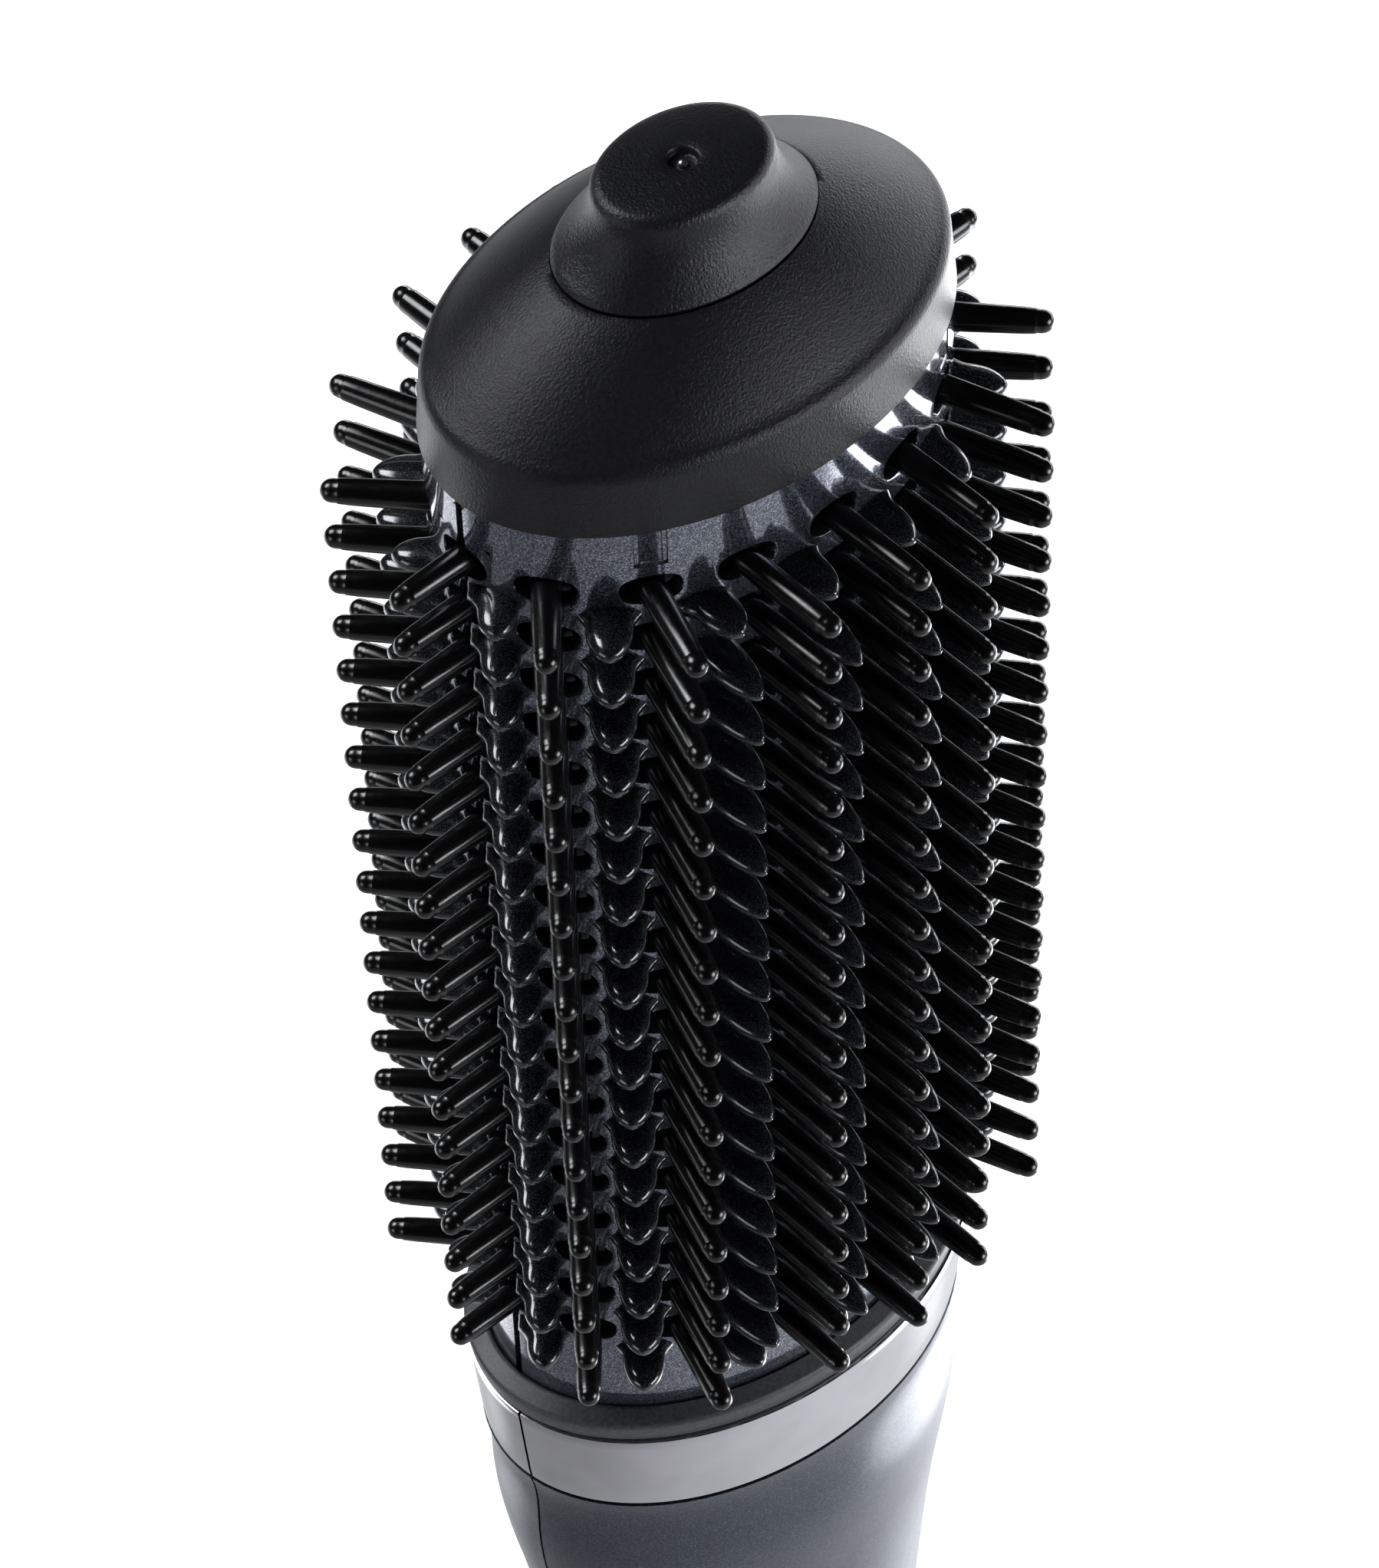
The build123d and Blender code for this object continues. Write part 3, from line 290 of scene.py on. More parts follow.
def glossy(name, color, roughness, ripple):
    """Glossy moulded nylon with a slightly uneven skin."""
    material, tn, links, shader = new_material(name, color, roughness)
    bump(tn, links, shader, noise(tn, links, 1.1 * MM, 2.0), ripple)
    streak = noise(tn, links, 0.5 * MM, 3.0)
    links.new(span(tn, links, streak, roughness - 0.03, roughness + 0.06), shader.inputs["Roughness"])
    dark = tuple(c * 0.7 for c in color)
    links.new(ramp(tn, links, noise(tn, links, 3 * MM), dark, color), shader.inputs["Base Color"])
    return material


def metal(name, color, roughness, grain, stretch=(1, 1, 1), depth=0.002 * MM):
    """Bare metal with drawn or turned marks."""
    material, tn, links, shader = new_material(name, color, roughness, metallic=1.0)
    marks = noise(tn, links, grain, 3.0, 0.6, stretch)
    links.new(span(tn, links, marks, roughness - 0.03, roughness + 0.05), shader.inputs["Roughness"])
    bump(tn, links, shader, marks, depth)
    shade = tuple(c * 0.9 for c in color)
    links.new(ramp(tn, links, noise(tn, links, 6 * MM), shade, color), shader.inputs["Base Color"])
    return material


cap_plastic = soft_touch("cap_soft_touch", (0.0065, 0.0066, 0.0078), 0.28 * MM, 0.085 * MM, 0.36, 0.25)
knob_plastic = soft_touch("knob_soft_touch", (0.0065, 0.0066, 0.0078), 0.30 * MM, 0.100 * MM, 0.35, 0.32)
barrel_paint = flake_paint(
    "barrel_flake", (0.045, 0.051, 0.070), (0.34, 0.37, 0.46),
    roughness=0.11, metallic=0.85, flake=0.09 * MM, coat=0.8, wave=0.07,
)
# Tongues: the barrel's own flake paint made darker, which is painted shade; they are the same material as the
# skin.
petal_paint_shaded = flake_paint(
    "petal_flake_painted_shade", (0.005, 0.0055, 0.007), (0.05, 0.055, 0.07),
    roughness=0.16, metallic=0.35, flake=0.08 * MM, coat=0.7, wave=0.07,
)
nylon = glossy("bristle_nylon", (0.0024, 0.0024, 0.0028), 0.21, 0.002 * MM)
collar_plastic = soft_touch("collar_grain", (0.030, 0.031, 0.035), 0.30 * MM, 0.035 * MM, 0.50)
band_metal = metal("band_polish", (0.56, 0.555, 0.59), 0.10, 0.6 * MM, (1, 1, 12), 0.0003 * MM)
grip_paint = flake_paint(
    "grip_satin", (0.034, 0.040, 0.055), (0.09, 0.105, 0.14),
    roughness=0.36, metallic=0.75, flake=0.10 * MM, coat=0.25, wave=0.10,
)


# --- Cap, knob, collar and band --------------------------------------------------------------
def make_cap():
    """Domed cap: rounded foot, short skirt, soft rim, low dome up to the knob's seam."""
    a, b = 28.75 * MM, 19.85 * MM
    rim = cap_low + 7.7 * MM
    profile = [(cap_low + 1.2 * MM, a - 1.6 * MM, b - 1.6 * MM), (cap_low, a - 1.5 * MM, b - 1.5 * MM)]
    profile += arc_profile(cap_low + 0.3 * MM, a, b, 0.3 * MM, -90, 0, 4)
    shoulder = 2.0 * MM
    top_a, top_b = a - 0.45 * MM, b - 0.5 * MM
    profile += arc_profile(rim - 1.7 * MM, top_a, top_b, shoulder, 0, 62, 8)
    z0, a0, b0 = profile[-1]
    seat_a, seat_b = 13.95 * MM, 10.05 * MM
    steps = 14
    for step in range(1, steps + 1):
        s = step / steps
        rise = 1.22 * s - 0.22 * s * s
        profile.append((z0 + (seam_level - z0) * rise, a0 + (seat_a - a0) * s, b0 + (seat_b - b0) * s))
    profile.append((seam_level - 0.05 * MM, seat_a - 0.12 * MM, seat_b - 0.12 * MM))
    profile.append((seam_level - 0.6 * MM, seat_a - 0.2 * MM, seat_b - 0.2 * MM))
    solid = oval_surface(profile)
    return add_piece("cap_shell", *solid, cap_plastic, "brush", "soft_black", ["end_cap"], 50)


def make_knob():
    """Cool-touch knob: hollow flanks, rounded shoulder, near-flat top with a dimple."""
    foot = seam_level + 0.22 * MM
    foot_a, foot_b = 13.85 * MM, 9.95 * MM
    top_a, top_b = 9.55 * MM, 7.05 * MM
    shoulder = brush_top - 1.55 * MM
    profile = [(foot - 1.0 * MM, foot_a - 0.35 * MM, foot_b - 0.35 * MM)]
    profile += arc_profile(foot + 0.15 * MM, foot_a, foot_b, 0.15 * MM, -80, 20, 4)
    z0, a0, b0 = profile[-1]
    steps = 12
    for step in range(1, steps + 1):
        s = step / steps
        hollow = 1 - (1 - s) ** 1.75
        profile.append((z0 + (shoulder - z0) * s, a0 + (top_a - a0) * hollow, b0 + (top_b - b0) * hollow))
    edge = 1.35 * MM
    profile += arc_profile(shoulder, top_a, top_b, edge, 8, 84, 7)
    z1, a1, b1 = profile[-1]
    rim_radius = 1.75 * MM
    crown = brush_top - 0.02 * MM
    for step in range(1, 7):
        s = step / 6
        lift = z1 + (crown - z1) * (1 - (1 - s) ** 2)
        profile.append((lift, a1 + (rim_radius - a1) * s, b1 + (rim_radius - b1) * s))
    for drop, radius in ((0.06, 1.58), (0.22, 1.5), (0.62, 1.46), (0.78, 1.36), (0.84, 1.1), (0.85, 0.62)):
        profile.append((crown - drop * MM, radius * MM, radius * MM))
    solid = oval_surface(profile)
    return add_piece("tip_knob", *solid, knob_plastic, "brush", "soft_black", ["cool_tip_knob"], 60)


def make_collar():
    """Sloping grained ring with a rounded outer edge."""
    inner_a, inner_b = barrel_a + 0.1 * MM, barrel_b + 0.1 * MM
    outer_a, outer_b = 31.0 * MM, 21.7 * MM
    edge = collar_high - 1.1 * MM
    profile = [
        (collar_low, inner_a + 0.4 * MM, inner_b + 0.4 * MM),
        (collar_low, outer_a - 0.5 * MM, outer_b - 0.3 * MM),
        (collar_low + 0.2 * MM, outer_a - 0.32 * MM, outer_b - 0.12 * MM),
    ]
    profile += arc_profile(edge - 0.35 * MM, outer_a, outer_b, 0.7 * MM, 0, 66, 6)
    z0, a0, b0 = profile[-1]
    for step in range(1, 6):
        s = step / 5
        z = z0 + (collar_high - z0) * s
        profile.append((z, a0 + (inner_a + 0.25 * MM - a0) * s, b0 + (inner_b + 0.25 * MM - b0) * s))
    profile.append((collar_high - 0.15 * MM, inner_a, inner_b))
    profile.append((collar_low, inner_a, inner_b))
    full = 2 * math.pi
    count = len(profile)
    segments = 200
    verts, faces = swept_loop(profile, lambda b: 0.0, lambda b: full, segments)
    faces = [tuple(i % (segments * count) for i in face) for face in faces[:-2]]
    verts = verts[: segments * count]
    return add_piece("collar_ring", verts, faces, collar_plastic, "brush", "charcoal_grain", ["collar"], 60)


def band_profile():
    """Closed section of the band: tapered face, fine chamfers top and bottom."""
    bottom_a, bottom_b = 29.6 * MM, 20.9 * MM
    top_a, top_b = 30.7 * MM, 21.9 * MM
    wall = 1.1 * MM
    fine = 0.28 * MM
    outer = [(band_low, bottom_a - fine, bottom_b - fine)]
    outer.append((band_low + 0.5 * fine, bottom_a - 0.2 * fine, bottom_b - 0.2 * fine))
    for step in range(1, 8):
        s = step / 8
        z = band_low + (band_high - band_low) * s
        outer.append((z, bottom_a + (top_a - bottom_a) * s, bottom_b + (top_b - bottom_b) * s))
    outer.append((band_high - fine, top_a, top_b))
    outer.append((band_high - 0.35 * fine, top_a - 0.25 * fine, top_b - 0.25 * fine))
    outer.append((band_high, top_a - fine, top_b - fine))
    inner = [(band_high, top_a - wall, top_b - wall), (band_low, bottom_a - wall, bottom_b - wall)]
    return outer + inner


def make_bands():
    """Front and back halves of the polished band, with the open seam between them."""
    profile = band_profile()

    def seam(edge):
        return lambda b: math.asin(max(-1.0, min(1.0, edge / b)))

    front_edge = split_y - split_half_gap
    back_edge = split_y + split_half_gap
    front_seam, back_seam = seam(front_edge), seam(back_edge)
    segments = 120
    front = swept_loop(
        profile, lambda b: math.pi - front_seam(b), lambda b: 2 * math.pi + front_seam(b), segments
    )
    back = swept_loop(profile, back_seam, lambda b: math.pi - back_seam(b), segments)
    add_piece("band_front_ring", *front, band_metal, "brush", "polished_band", ["band_front"], 30)
    add_piece("band_back_ring", *back, band_metal, "brush", "polished_band", ["band_back"], 30)


# --- Barrel ----------------------------------------------------------------------------------
CELL_TURNS = 24                        # points round a pin hole; a multiple of 8
# Rings of a pin hole's lip and wall: growth past the hole's size and depth in the skin, in mm
HOLE_RINGS = ((0.32, 0.0), (0.10, 0.03), (0.0, 0.16), (0.0, 1.9))


def skin_point(t, z):
    """Point of the barrel's skin at an angle station."""
    return (barrel_a * math.cos(t), barrel_b * math.sin(t), z)


def arc_speed(t):
    """Length of skin per radian of station."""
    return math.hypot(barrel_a * math.sin(t), barrel_b * math.cos(t))


def hole_point(place, across, z, depth):
    """Point on a hole's wall: across and z from the pin's axis, depth in from the skin."""
    x, y, direction, _ = place
    dx, dy = math.cos(math.radians(direction)), math.sin(math.radians(direction))
    px, py = x - dy * across, y + dx * across
    aa = (dx / barrel_a) ** 2 + (dy / barrel_b) ** 2
    bb = 2 * (px * dx / barrel_a ** 2 + py * dy / barrel_b ** 2)
    cc = (px / barrel_a) ** 2 + (py / barrel_b) ** 2 - 1
    reach = (-bb + math.sqrt(max(0.0, bb * bb - 4 * aa * cc))) / (2 * aa) - depth
    return (px + dx * reach, py + dy * reach, z)


def superoval(turn, half_width, half_height, power=2.6):
    """Point of a squared-off oval at a turn."""
    c, s = math.cos(turn), math.sin(turn)
    return (
        math.copysign(abs(c) ** (2 / power), c) * half_width,
        math.copysign(abs(s) ** (2 / power), s) * half_height,
    )


def hole_cell(place, row_z, turns):
    """Skin patch of one pin with its oval hole, rounded lip and wall."""
    t0 = math.radians(place[3])
    speed = arc_speed(t0)
    rings = []
    edge = []
    for turn in turns:
        c, s = math.cos(turn), math.sin(turn)
        m = max(abs(c), abs(s))
        edge.append(skin_point(t0 + c / m * cell_half_width / speed, row_z + s / m * pitch / 2))
    rings.append(edge)
    for grow, depth in HOLE_RINGS:
        ring = []
        for turn in turns:
            across, up = superoval(turn, slot_half_width + grow * MM, slot_half_height + grow * MM * 0.8)
            ring.append(hole_point(place, across, row_z + up, depth * MM))
        rings.append(ring)
    verts = [point for ring in rings for point in ring]
    return verts, [tuple(reversed(face)) for face in ring_faces(len(rings), len(turns))]


def row_lines(centre, half):
    """Seven lines across a cell, at the places where its edge has points."""
    step = 2 * math.pi / CELL_TURNS
    shares = [math.tan(step * i) for i in range(-3, 4)]
    shares[0], shares[-1] = -1.0, 1.0
    return [centre + share * half for share in shares]


def patch(t_lines, z_lines):
    """Plain skin over a grid of stations and heights."""
    verts = [skin_point(t, z) for z in z_lines for t in t_lines]
    return verts, ring_faces(len(z_lines), len(t_lines), closed=False)


def channel(t0, z_lines):
    """Skin over the first row of a column, with two fine upright grooves side by side."""
    half = cell_half_width / MM
    profile = [(-half, 0.0), (-1.62, 0.0), (-1.5, 0.25), (-1.15, 0.25), (-1.0, 0.04)]
    profile += [(-across, depth) for across, depth in reversed(profile)]
    speed = arc_speed(t0)
    levels = [(z_lines[0], 0.0), (z_lines[0] + 0.05 * MM, 1.0)] + [(z, 1.0) for z in z_lines[1:]]
    verts = []
    for z, sunk in levels:
        for across, depth in profile:
            t = t0 + across * MM / speed
            inset = depth * sunk * MM
            verts.append(((barrel_a - inset) * math.cos(t), (barrel_b - inset) * math.sin(t), z))
    return verts, ring_faces(len(levels), len(profile), closed=False)


def even(low, high, steps):
    """Evenly spaced values, ends included."""
    return [low + (high - low) * i / steps for i in range(steps + 1)]


def is_grooved(place):
    """Whether a column is one of the four that the fine grooves run up from."""
    grooved = pin_columns[2][0]
    return min(abs(place[3] % 180 - grooved), abs(180 - place[3] % 180 - grooved)) < 0.1


def half_skin(side):
    """Skin of one barrel half: side -1 is the front, 1 the back."""
    foot, top = collar_low, cap_low
    all_z = [last_row - pitch / 2]
    for row in range(row_count):
        all_z += row_lines(last_row + row * pitch, pitch / 2)[1:]
    below = even(foot, all_z[0], 6)
    above = even(all_z[-1], top, 5)
    columns = []
    for station, direction, _ in pin_columns:
        columns += [p for p in quadrant_copies(station, direction) if abs(p[1]) < 1e-6 or p[1] * side > 0]
    start = 180.0 if side < 0 else 0.0
    for index, place in enumerate(columns):
        turn = (place[3] - start) % 360
        columns[index] = (place[0], place[1], place[2], start + (turn if turn < 181 else turn - 360))
    columns.sort(key=lambda place: place[3])
    parts = []
    gap_turn = parting_half_gap / barrel_b
    low_edge = math.radians(start) + gap_turn
    high_edge = math.radians(start + 180) - gap_turn
    last_line = None
    turns = [2 * math.pi * i / CELL_TURNS for i in range(CELL_TURNS)]
    for index, place in enumerate(columns):
        t0 = math.radians(place[3])
        half = cell_half_width / arc_speed(t0)
        lines = row_lines(t0, half)
        if last_line is not None:
            between = even(last_line, lines[0], 5)
            parts.append(patch(between, below + all_z[1:] + above[1:]))
        is_first, is_last = index == 0, index == len(columns) - 1
        if is_first or is_last:
            lines = [t for t in lines if low_edge < t < high_edge]
            lines = [low_edge] + lines if is_first else lines + [high_edge]
        parts.append(patch(lines, below))
        parts.append(channel(t0, above) if is_grooved(place) else patch(lines, above))
        for row in range(row_count):
            z = last_row + row * pitch
            if is_first or is_last:
                parts.append(half_cell(place, z, lines, is_first))
            else:
                parts.append(hole_cell(place, z, turns))
        last_line = lines[-1]
    return merge(parts)


def half_cell(place, row_z, lines, is_first):
    """Patch of a pin hole that the parting slit cuts in two."""
    sign = 1 if is_first else -1
    lead = parting_half_gap / slot_half_width
    limit = math.pi / 2 - lead * 0.9
    steps = 12
    turns = [-limit + 2 * limit * i / steps for i in range(steps + 1)]
    t0 = math.radians(place[3])
    edge_line = lines[0] if is_first else lines[-1]
    speed = arc_speed(t0)
    rings = [[]]
    for index, turn in enumerate(turns):
        c, s = math.cos(turn), math.sin(turn)
        m = max(abs(c), abs(s))
        t = t0 + sign * c / m * cell_half_width / speed
        if index in (0, steps):
            t = edge_line
        rings[0].append(skin_point(t, row_z + s / m * pitch / 2))
    for grow, depth in HOLE_RINGS:
        ring = []
        for turn in turns:
            across, up = superoval(turn, slot_half_width + grow * MM, slot_half_height + grow * MM * 0.8)
            across = max(across, parting_half_gap)
            ring.append(hole_point(place, sign * across, row_z + up, depth * MM))
        rings.append(ring)
    verts = [point for ring in rings for point in ring]
    faces = ring_faces(len(rings), len(turns), closed=False)
    return verts, faces if sign < 0 else [tuple(reversed(face)) for face in faces]


def skirt_walls(side):
    """The two faces of a barrel half along the parting slits, as deep as the wall."""
    foot, top = collar_low, cap_low
    parts = []
    for x_side in (-1, 1):
        y = side * parting_half_gap
        outer = barrel_a * x_side * 0.9998
        inner = (barrel_a - barrel_wall) * x_side
        z_lines = even(foot, top, 8)
        verts = [(x, y, z) for z in z_lines for x in (outer, inner)]
        parts.append((verts, ring_faces(len(z_lines), 2, closed=False)))
    return merge(parts)


def make_barrel():
    """Both barrel halves."""
    for side, label in ((-1, "front"), (1, "back")):
        verts, faces = merge([half_skin(side), skirt_walls(side)])
        replaced = [f"barrel_{label}"]
        weld(add_piece(f"barrel_{label}_skin", verts, faces, barrel_paint, "brush", "gunmetal", replaced, 40))


def weld(piece):
    """Joins the patches of a piece along their shared edges."""
    data = bmesh.new()
    data.from_mesh(piece.data)
    bmesh.ops.remove_doubles(data, verts=data.verts, dist=0.004 * MM)
    bmesh.ops.recalc_face_normals(data, faces=data.faces)
    data.to_mesh(piece.data)
    data.free()
    piece.data.set_sharp_from_angle(angle=math.radians(40))


def petal_mesh(length, shoulder_half, root_half):
    """One tongue along +X: flared root, leaf-shaped tip, crowned top, slightly drooping."""
    points = 18
    ear_end = 1.3
    sections = []
    reach = [-2.6, -0.4, 0.1, 0.5, 0.9, ear_end]
    leaf_shares = (0.18, 0.36, 0.52, 0.66, 0.78, 0.87, 0.94, 0.98, 0.998)
    reach += [ear_end + (length - ear_end) * s for s in leaf_shares]
    for x in reach:
        if x < ear_end:
            flare = max(0.0, (ear_end - max(x, -0.4)) / (ear_end + 0.4)) ** 1.6
            half = shoulder_half + (root_half - shoulder_half) * flare
        else:
            s = (x - ear_end) / (length - ear_end)
            half = shoulder_half * max(0.0, 1 - s ** 2.3) ** 0.62
        share = max(0.0, min(1.0, x / length))
        thick = (1.12 - 0.30 * share) * math.sqrt(max(0.02, 1 - share ** 7))
        droop = -0.28 * share ** 2
        sections.append((x, half, thick, droop))
    verts = []
    for x, half, thick, droop in sections:
        for k in range(points):
            turn = 2 * math.pi * k / points
            across, up = superoval(turn, half, thick, 2.5)
            crown = 0.22 * (1 - (across / max(half, 0.01)) ** 2) if up > 0 else 0.0
            verts.append((x * MM, across * MM, (up + crown + droop) * MM))
    faces = [tuple(reversed(face)) for face in ring_faces(len(sections), points)]
    faces.append(tuple(range(points)))
    faces.append(tuple(reversed(range((len(sections) - 1) * points, len(sections) * points))))
    return np.array(verts), faces


def make_petals():
    """All the tongues of both barrel halves."""
    for side, label in ((-1, "front"), (1, "back")):
        parts = []
        for station, direction, length, end_length, shoulder_half, root_half in petal_columns:
            full = petal_mesh(length, shoulder_half, root_half)
            short = petal_mesh(end_length, shoulder_half, root_half)
            for x, y, turn, _ in quadrant_copies(station, direction):
                if y * side < 0:
                    continue
                for row in range(row_count):
                    verts, faces = short if row in (0, row_count - 1) else full
                    z = last_row + (row - 0.5) * pitch
                    parts.append((turned(verts, x, y, z, turn), faces))
        verts, faces = merge(parts)
        # The tongues wear the darkened copy of the barrel paint: painted shade.
        add_piece(f"petals_{label}", verts, faces, petal_paint_shaded, "brush", "gunmetal", [f"barrel_{label}"], 50)


# --- Bristle strips --------------------------------------------------------------------------
def pin_mesh(length):
    """One pin along +X with a faint step before its rounded nose."""
    points = 16
    nose = 1.16
    rings = [(-3.8, 1.48), (0.0, 1.45), (0.35 * length, 1.39), (0.7 * length, 1.31), (length - 1.85, 1.25)]
    rings += [(length - 1.76, 1.24), (length - 1.66, 1.17), (length - nose, nose)]
    for degrees in (18, 36, 54, 70, 82):
        turn = math.radians(degrees)
        rings.append((length - nose + nose * math.sin(turn), nose * math.cos(turn)))
    verts = []
    for x, radius in rings:
        for k in range(points):
            turn = 2 * math.pi * k / points
            verts.append((x * MM, radius * math.cos(turn) * MM, radius * math.sin(turn) * MM))
    faces = [tuple(reversed(face)) for face in ring_faces(len(rings), points)]
    faces.append(tuple(range(points)))
    faces.append(tuple(reversed(range((len(rings) - 1) * points, len(rings) * points))))
    return np.array(verts), faces


def backing_mesh():
    """Strip behind the pins, with rounded long edges."""
    face_x, back_x = -3.2, -4.8
    half = 2.5
    round_off = 0.35
    outline = [(face_x, -half + round_off), (face_x, half - round_off), (face_x - round_off, half)]
    outline += [(back_x + round_off, half), (back_x, half - round_off), (back_x, -half + round_off)]
    outline += [(back_x + round_off, -half), (face_x - round_off, -half)]
    levels = even(strip_low, strip_high, 4)
    verts = [(x * MM, y * MM, z) for z in levels for x, y in outline]
    faces = [tuple(reversed(face)) for face in ring_faces(len(levels), len(outline))]
    faces.append(tuple(range(len(outline))))
    top = (len(levels) - 1) * len(outline)
    faces.append(tuple(reversed(range(top, top + len(outline)))))
    return np.array(verts), faces


def make_strips():
    """The sixteen bristle strips, in the same order round the barrel as the CAD nodes."""
    places = []
    for station, direction, length in pin_columns:
        places += [(p, length) for p in quadrant_copies(station, direction)]
    places.sort(key=lambda item: item[0][2])
    backing = backing_mesh()
    for number, ((x, y, turn, _), length) in enumerate(places, start=1):
        verts, faces = pin_mesh(length)
        parts = [(turned(backing[0], x, y, 0, turn), backing[1])]
        for row in range(row_count):
            parts.append((turned(verts, x, y, last_row + row * pitch, turn), faces))
        name = f"bristle_strip_{number:02d}"
        add_piece(name.replace("strip", "column"), *merge(parts), nylon, "brush", "bristle_nylon", [name], 40)


# --- Materials of the CAD nodes that stay ----------------------------------------------------
def dress(names, material):
    """Gives carried-over CAD nodes a material."""
    for name in names:
        mesh = nodes[name].data
        mesh.materials.clear()
        mesh.materials.append(material)


def dress_cad_nodes():
    """Materials of the handle, the controls, the tail and the inner pieces."""
    steel = metal("turned_steel", (0.56, 0.56, 0.58), 0.28, 0.3 * MM, (1, 1, 10))
    alloy = metal("rolled_alloy", (0.72, 0.72, 0.73), 0.34, 0.4 * MM, (1, 1, 6))
    brass = metal("plain_brass", (0.78, 0.58, 0.28), 0.30, 0.4 * MM)
    wire = metal("drawn_wire", (0.42, 0.41, 0.40), 0.42, 0.3 * MM)
    weave = metal("woven_mesh", (0.42, 0.42, 0.44), 0.40, 0.35 * MM, (1, 1, 1), 0.05 * MM)
    sintered = metal("sintered_magnet", (0.16, 0.16, 0.17), 0.55, 0.25 * MM, (1, 1, 1), 0.01 * MM)
    moulded = soft_touch("heat_plastic", (0.08, 0.07, 0.062), 0.25 * MM, 0.01 * MM, 0.5)
    mica = soft_touch("mica_sheet", (0.52, 0.45, 0.34), 0.9 * MM, 0.02 * MM, 0.45)
    board = soft_touch("board_mask", (0.02, 0.13, 0.06), 0.6 * MM, 0.004 * MM, 0.3)
    rubber = soft_touch("gasket_rubber", (0.025, 0.025, 0.026), 0.3 * MM, 0.01 * MM, 0.7)
    fan = soft_touch("fan_plastic", (0.7, 0.7, 0.67), 0.4 * MM, 0.004 * MM, 0.4)
    control = glossy("control_gloss", (0.010, 0.010, 0.012), 0.12, 0.004 * MM)
    button = soft_touch("button_soft", (0.045, 0.047, 0.053), 0.15 * MM, 0.010 * MM, 0.5)
    lens = glossy("lens_clear", (0.55, 0.60, 0.66), 0.10, 0.003 * MM)
    dress(["handle_front", "handle_back", "filter_sleeve"], grip_paint)
    dress(["cap_screws", "tip_pin", "shell_screws", "motor_can", "rotor_core", "motor_shaft"], steel)
    dress(["air_core"], alloy)
    dress(["thermostat", "thermal_fuse", "motor_bushes"], brass)
    dress(["heater_winding"], wire)
    dress(["filter_mesh"], weave)
    dress(["motor_magnets"], sintered)
    dress(["bristle_ring_top", "bristle_ring_bottom", "heater_base", "motor_duct", "gland_retainer"], moulded)
    dress(["heater_board_wide", "heater_board_narrow"], mica)
    dress(["circuit_board"], board)
    dress(["motor_gasket_lower", "motor_gasket_upper"], rubber)
    dress(["impeller"], fan)
    dress(["control_plate", "tact_switches"], control)
    dress(["cool_shot_button", "power_button", "heat_button", "cord_gland"], button)
    dress(["tail_frame"], collar_plastic)
    dress(["indicator_lens"], lens)


# --- Studio ----------------------------------------------------------------------------------
CAMERA_AZIMUTH = -41.05                # 0 looks along +Y
CAMERA_ELEVATION = 48.63
CAMERA_ROLL = -2.05
CAMERA_DISTANCE = 647.8 * MM
AIM_ASIDE = -0.115 * MM
AIM_DOWN = -35.45 * MM
FILTER_ROOM = 48 * MM                  # free height under the tail: the sleeve travels 45 mm
floor_level = cad_low.z - FILTER_ROOM


def camera_axes():
    """Right, up and back directions of the camera."""
    az, el, roll = map(math.radians, (CAMERA_AZIMUTH, CAMERA_ELEVATION, CAMERA_ROLL))
    back = Vector((math.sin(az) * math.cos(el), -math.cos(az) * math.cos(el), math.sin(el)))
    right = Vector((math.cos(az), math.sin(az), 0))
    up = back.cross(right)
    rolled_right = right * math.cos(roll) + up * math.sin(roll)
    rolled_up = up * math.cos(roll) - right * math.sin(roll)
    return rolled_right, rolled_up, back


def make_camera():
    """Long-lens camera above the cap, looking down at the broad front face."""
    right, up, back = camera_axes()
    aim = Vector((0, 0, first_row)) + right * AIM_ASIDE + up * AIM_DOWN
    data = bpy.data.cameras.new("camera")
    data.lens = 159.0
    data.sensor_width = 36.0
    data.clip_start = 0.02
    camera = bpy.data.objects.new("camera", data)
    axes = Matrix((right, up, back)).transposed().to_4x4()
    camera.matrix_world = Matrix.Translation(aim + back * CAMERA_DISTANCE) @ axes
    bpy.context.scene.collection.objects.link(camera)
    bpy.context.scene.camera = camera


def make_floor():
    """Plain pale floor, low enough for the filter sleeve to slide right off the tail above it."""
    half = 4.0
    corners = [(x * half, y * half, floor_level) for x, y in ((-1, -1), (1, -1), (1, 1), (-1, 1))]
    mesh = bpy.data.meshes.new("floor")
    mesh.from_pydata(corners, [], [(0, 1, 2, 3)])
    material, _, _, shader = new_material("floor_pale", (0.82, 0.82, 0.82), 0.9)
    shader.inputs["Emission Color"].default_value = (1, 1, 1, 1)
    shader.inputs["Emission Strength"].default_value = 0.75
    mesh.materials.append(material)
    floor = bpy.data.objects.new("floor", mesh)
    bpy.context.scene.collection.objects.link(floor)
    floor.visible_glossy = False


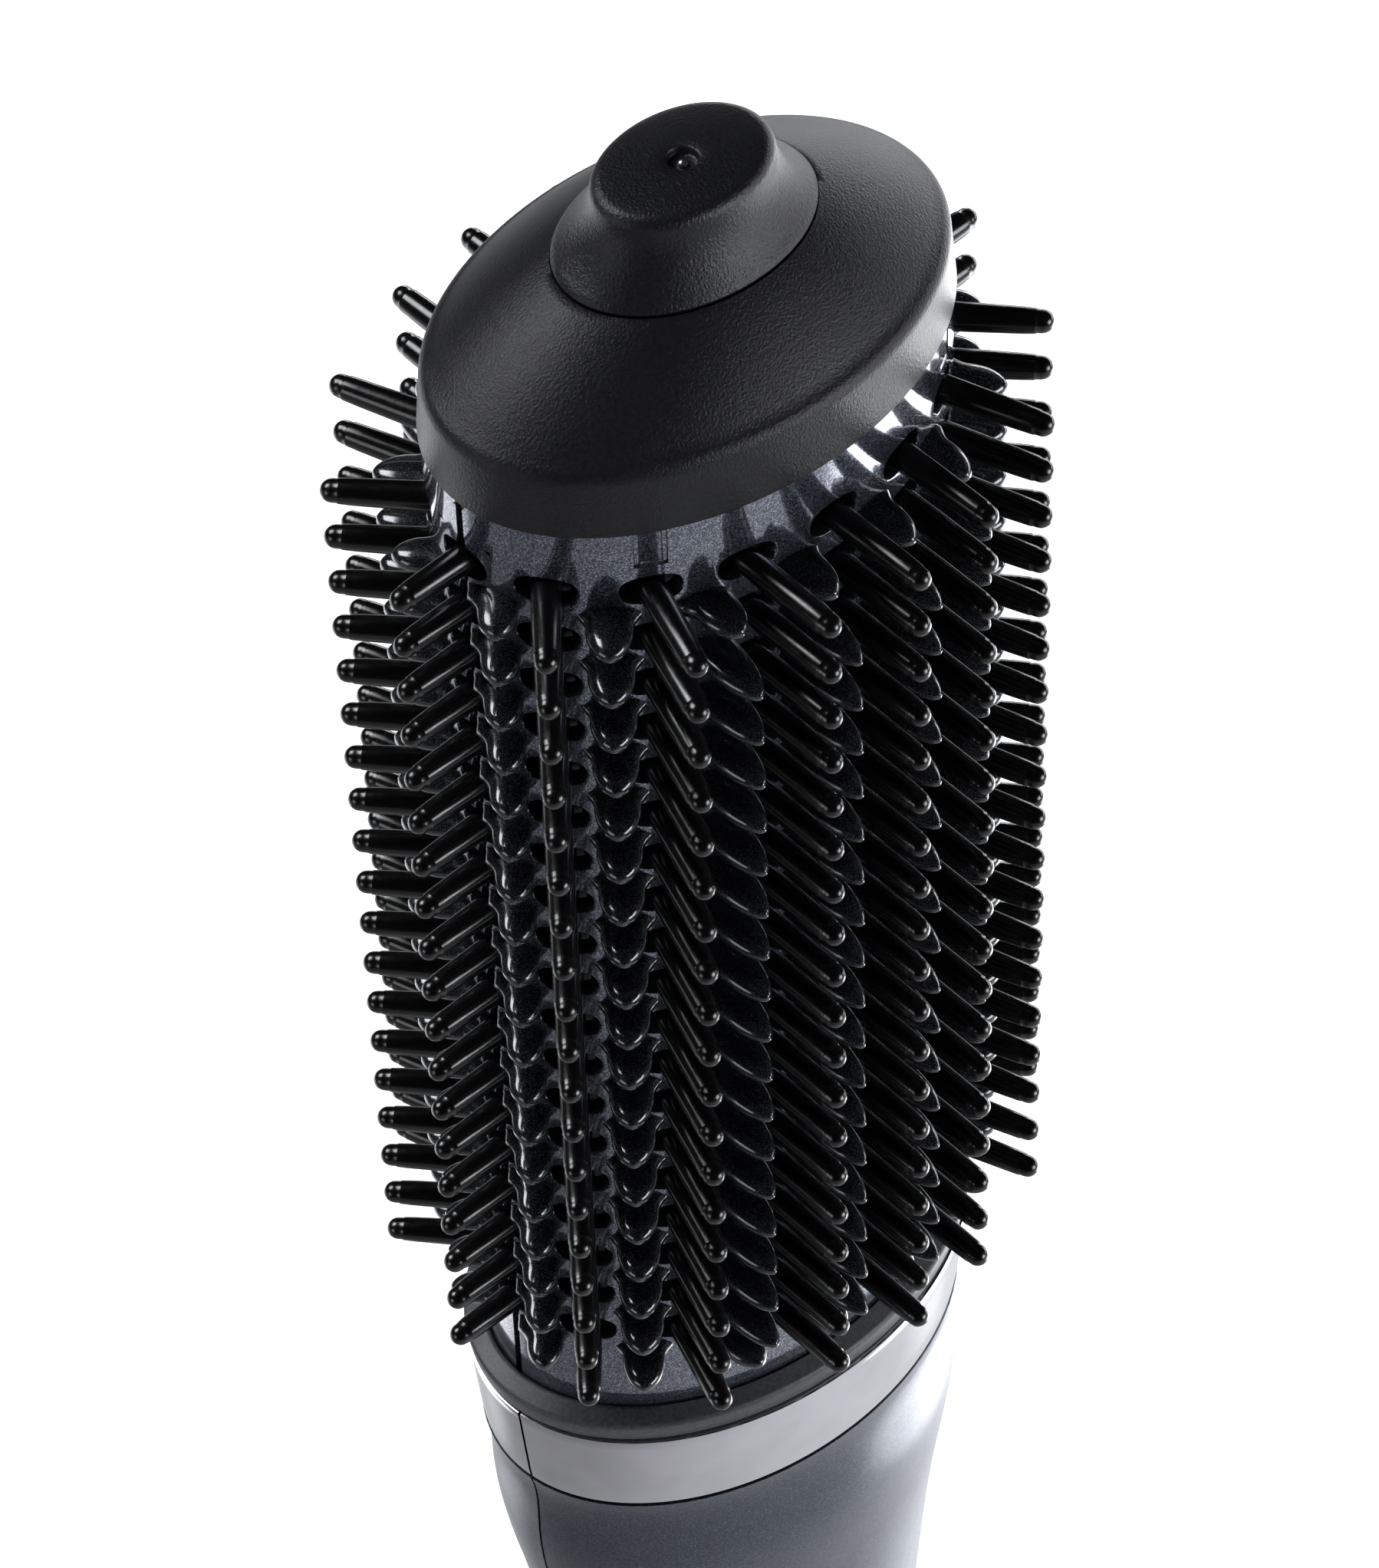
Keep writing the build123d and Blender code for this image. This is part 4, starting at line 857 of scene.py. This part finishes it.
def make_backdrop():
    """Pale dome over the stage that only the camera sees: the studio's light passes through it."""
    radius = 3.9
    segments, rings = 64, 12
    verts = []
    for ring in range(rings):
        rise = math.radians(90 * ring / rings)
        for step in range(segments):
            turn = 2 * math.pi * step / segments
            flat, lift = radius * math.cos(rise), radius * math.sin(rise)
            verts.append((flat * math.cos(turn), flat * math.sin(turn), floor_level + lift))
    faces = ring_faces(rings, segments)
    faces.append(tuple(range((rings - 1) * segments, rings * segments)))
    mesh = bpy.data.meshes.new("backdrop")
    mesh.from_pydata(verts, [], faces)
    material, _, _, shader = new_material("backdrop_pale", (0.8, 0.8, 0.8), 0.9)
    shader.inputs["Emission Color"].default_value = (1, 1, 1, 1)
    shader.inputs["Emission Strength"].default_value = 0.97
    mesh.materials.append(material)
    backdrop = bpy.data.objects.new("backdrop", mesh)
    bpy.context.scene.collection.objects.link(backdrop)
    backdrop.visible_diffuse = False
    backdrop.visible_glossy = False
    backdrop.visible_transmission = False
    backdrop.visible_shadow = False


def calc(tn, links, operation, first, second=0.0):
    """Math node over sockets or numbers; returns its value socket."""
    node = tn.new("ShaderNodeMath")
    node.operation = operation
    for place, value in enumerate((first, second)):
        if isinstance(value, (int, float)):
            node.inputs[place].default_value = value
        else:
            links.new(value, node.inputs[place])
    return node.outputs["Value"]


def along(tn, links, direction):
    """How far the world's direction goes along this one."""
    place = tn.new("ShaderNodeTexCoord")
    dot = tn.new("ShaderNodeVectorMath")
    dot.operation = "DOT_PRODUCT"
    dot.inputs[1].default_value = direction
    links.new(place.outputs["Generated"], dot.inputs[0])
    return dot.outputs["Value"]


def fade(tn, links, source, start, end, strength=1.0):
    """Smooth step of a socket from 0 at start to strength at end."""
    shape = tn.new("ShaderNodeMapRange")
    shape.interpolation_type = "SMOOTHSTEP"
    low, high = (start, end) if start < end else (end, start)
    shape.inputs["From Min"].default_value = low
    shape.inputs["From Max"].default_value = high
    shape.inputs["To Min"].default_value = 0.0 if start < end else strength
    shape.inputs["To Max"].default_value = strength if start < end else 0.0
    links.new(source, shape.inputs["Value"])
    return shape.outputs["Result"]


def studio_direction(aside, height):
    """Direction from the brush: degrees to the right of the camera, and above the horizon."""
    az = math.radians(CAMERA_AZIMUTH + aside)
    el = math.radians(height)
    return Vector((math.sin(az) * math.cos(el), -math.cos(az) * math.cos(el), math.sin(el)))


def panel(tn, links, aside, height, half_width, half_height, soft, strength):
    """Upright soft box far away: half sizes and soft edge in degrees; returns a strength socket."""
    centre = studio_direction(aside, height)
    across = studio_direction(aside + 90, 0)
    upward = centre.cross(across) * -1
    ahead = calc(tn, links, "MAXIMUM", along(tn, links, centre), 0.001)
    shape = None
    for axis, half in ((across, half_width), (upward, half_height)):
        off = calc(tn, links, "ABSOLUTE", calc(tn, links, "DIVIDE", along(tn, links, axis), ahead))
        inner, outer = math.tan(math.radians(half)), math.tan(math.radians(half + soft))
        side = fade(tn, links, off, outer, inner)
        shape = side if shape is None else calc(tn, links, "MULTIPLY", shape, side)
    front_only = fade(tn, links, ahead, 0.01, 0.05, strength)
    return calc(tn, links, "MULTIPLY", shape, front_only)


def table_glow(tn, links):
    """White table all round below the horizon, brighter to the right than to the left."""
    height = along(tn, links, (0, 0, 1))
    below = fade(tn, links, height, -0.05, -0.40)
    aside = along(tn, links, studio_direction(110, 0))
    level = fade(tn, links, aside, -0.75, 0.85, 0.75)
    return calc(tn, links, "MULTIPLY", below, calc(tn, links, "ADD", level, 0.30))


SOFT_BOXES = [
    # aside, height, half width, half height, soft edge (degrees), strength
    (68, 9, 11, 8, 7, 12.0),           # right key
    (-58, 6, 9, 8, 6, 3.0),            # left front fill
    (-112, 46, 9, 9, 8, 13.0),         # left top
    (142, -4, 40, 2.5, 2.5, 10.0),     # long strip behind
    (122, -41, 22, 9, 8, 7.0),         # low right
    (-122, -38, 18, 14, 8, 1.6),       # low left
]


def make_world():
    """Dark studio with soft boxes at the sides and behind, over a white table."""
    world = bpy.data.worlds.new("studio")
    bpy.context.scene.world = world
    world.use_nodes = True
    tn, links = world.node_tree.nodes, world.node_tree.links
    background = tn["Background"]
    background.inputs["Color"].default_value = (0.96, 0.975, 1.0, 1)
    total = calc(tn, links, "ADD", table_glow(tn, links), 0.012)
    for box in SOFT_BOXES:
        total = calc(tn, links, "ADD", total, panel(tn, links, *box))
    links.new(total, background.inputs["Strength"])


make_camera()
make_floor()
make_backdrop()
make_world()
bpy.context.scene.view_settings.view_transform = "Standard"

make_cap()
make_knob()
make_collar()
make_bands()
make_barrel()
make_petals()
make_strips()
dress_cad_nodes()
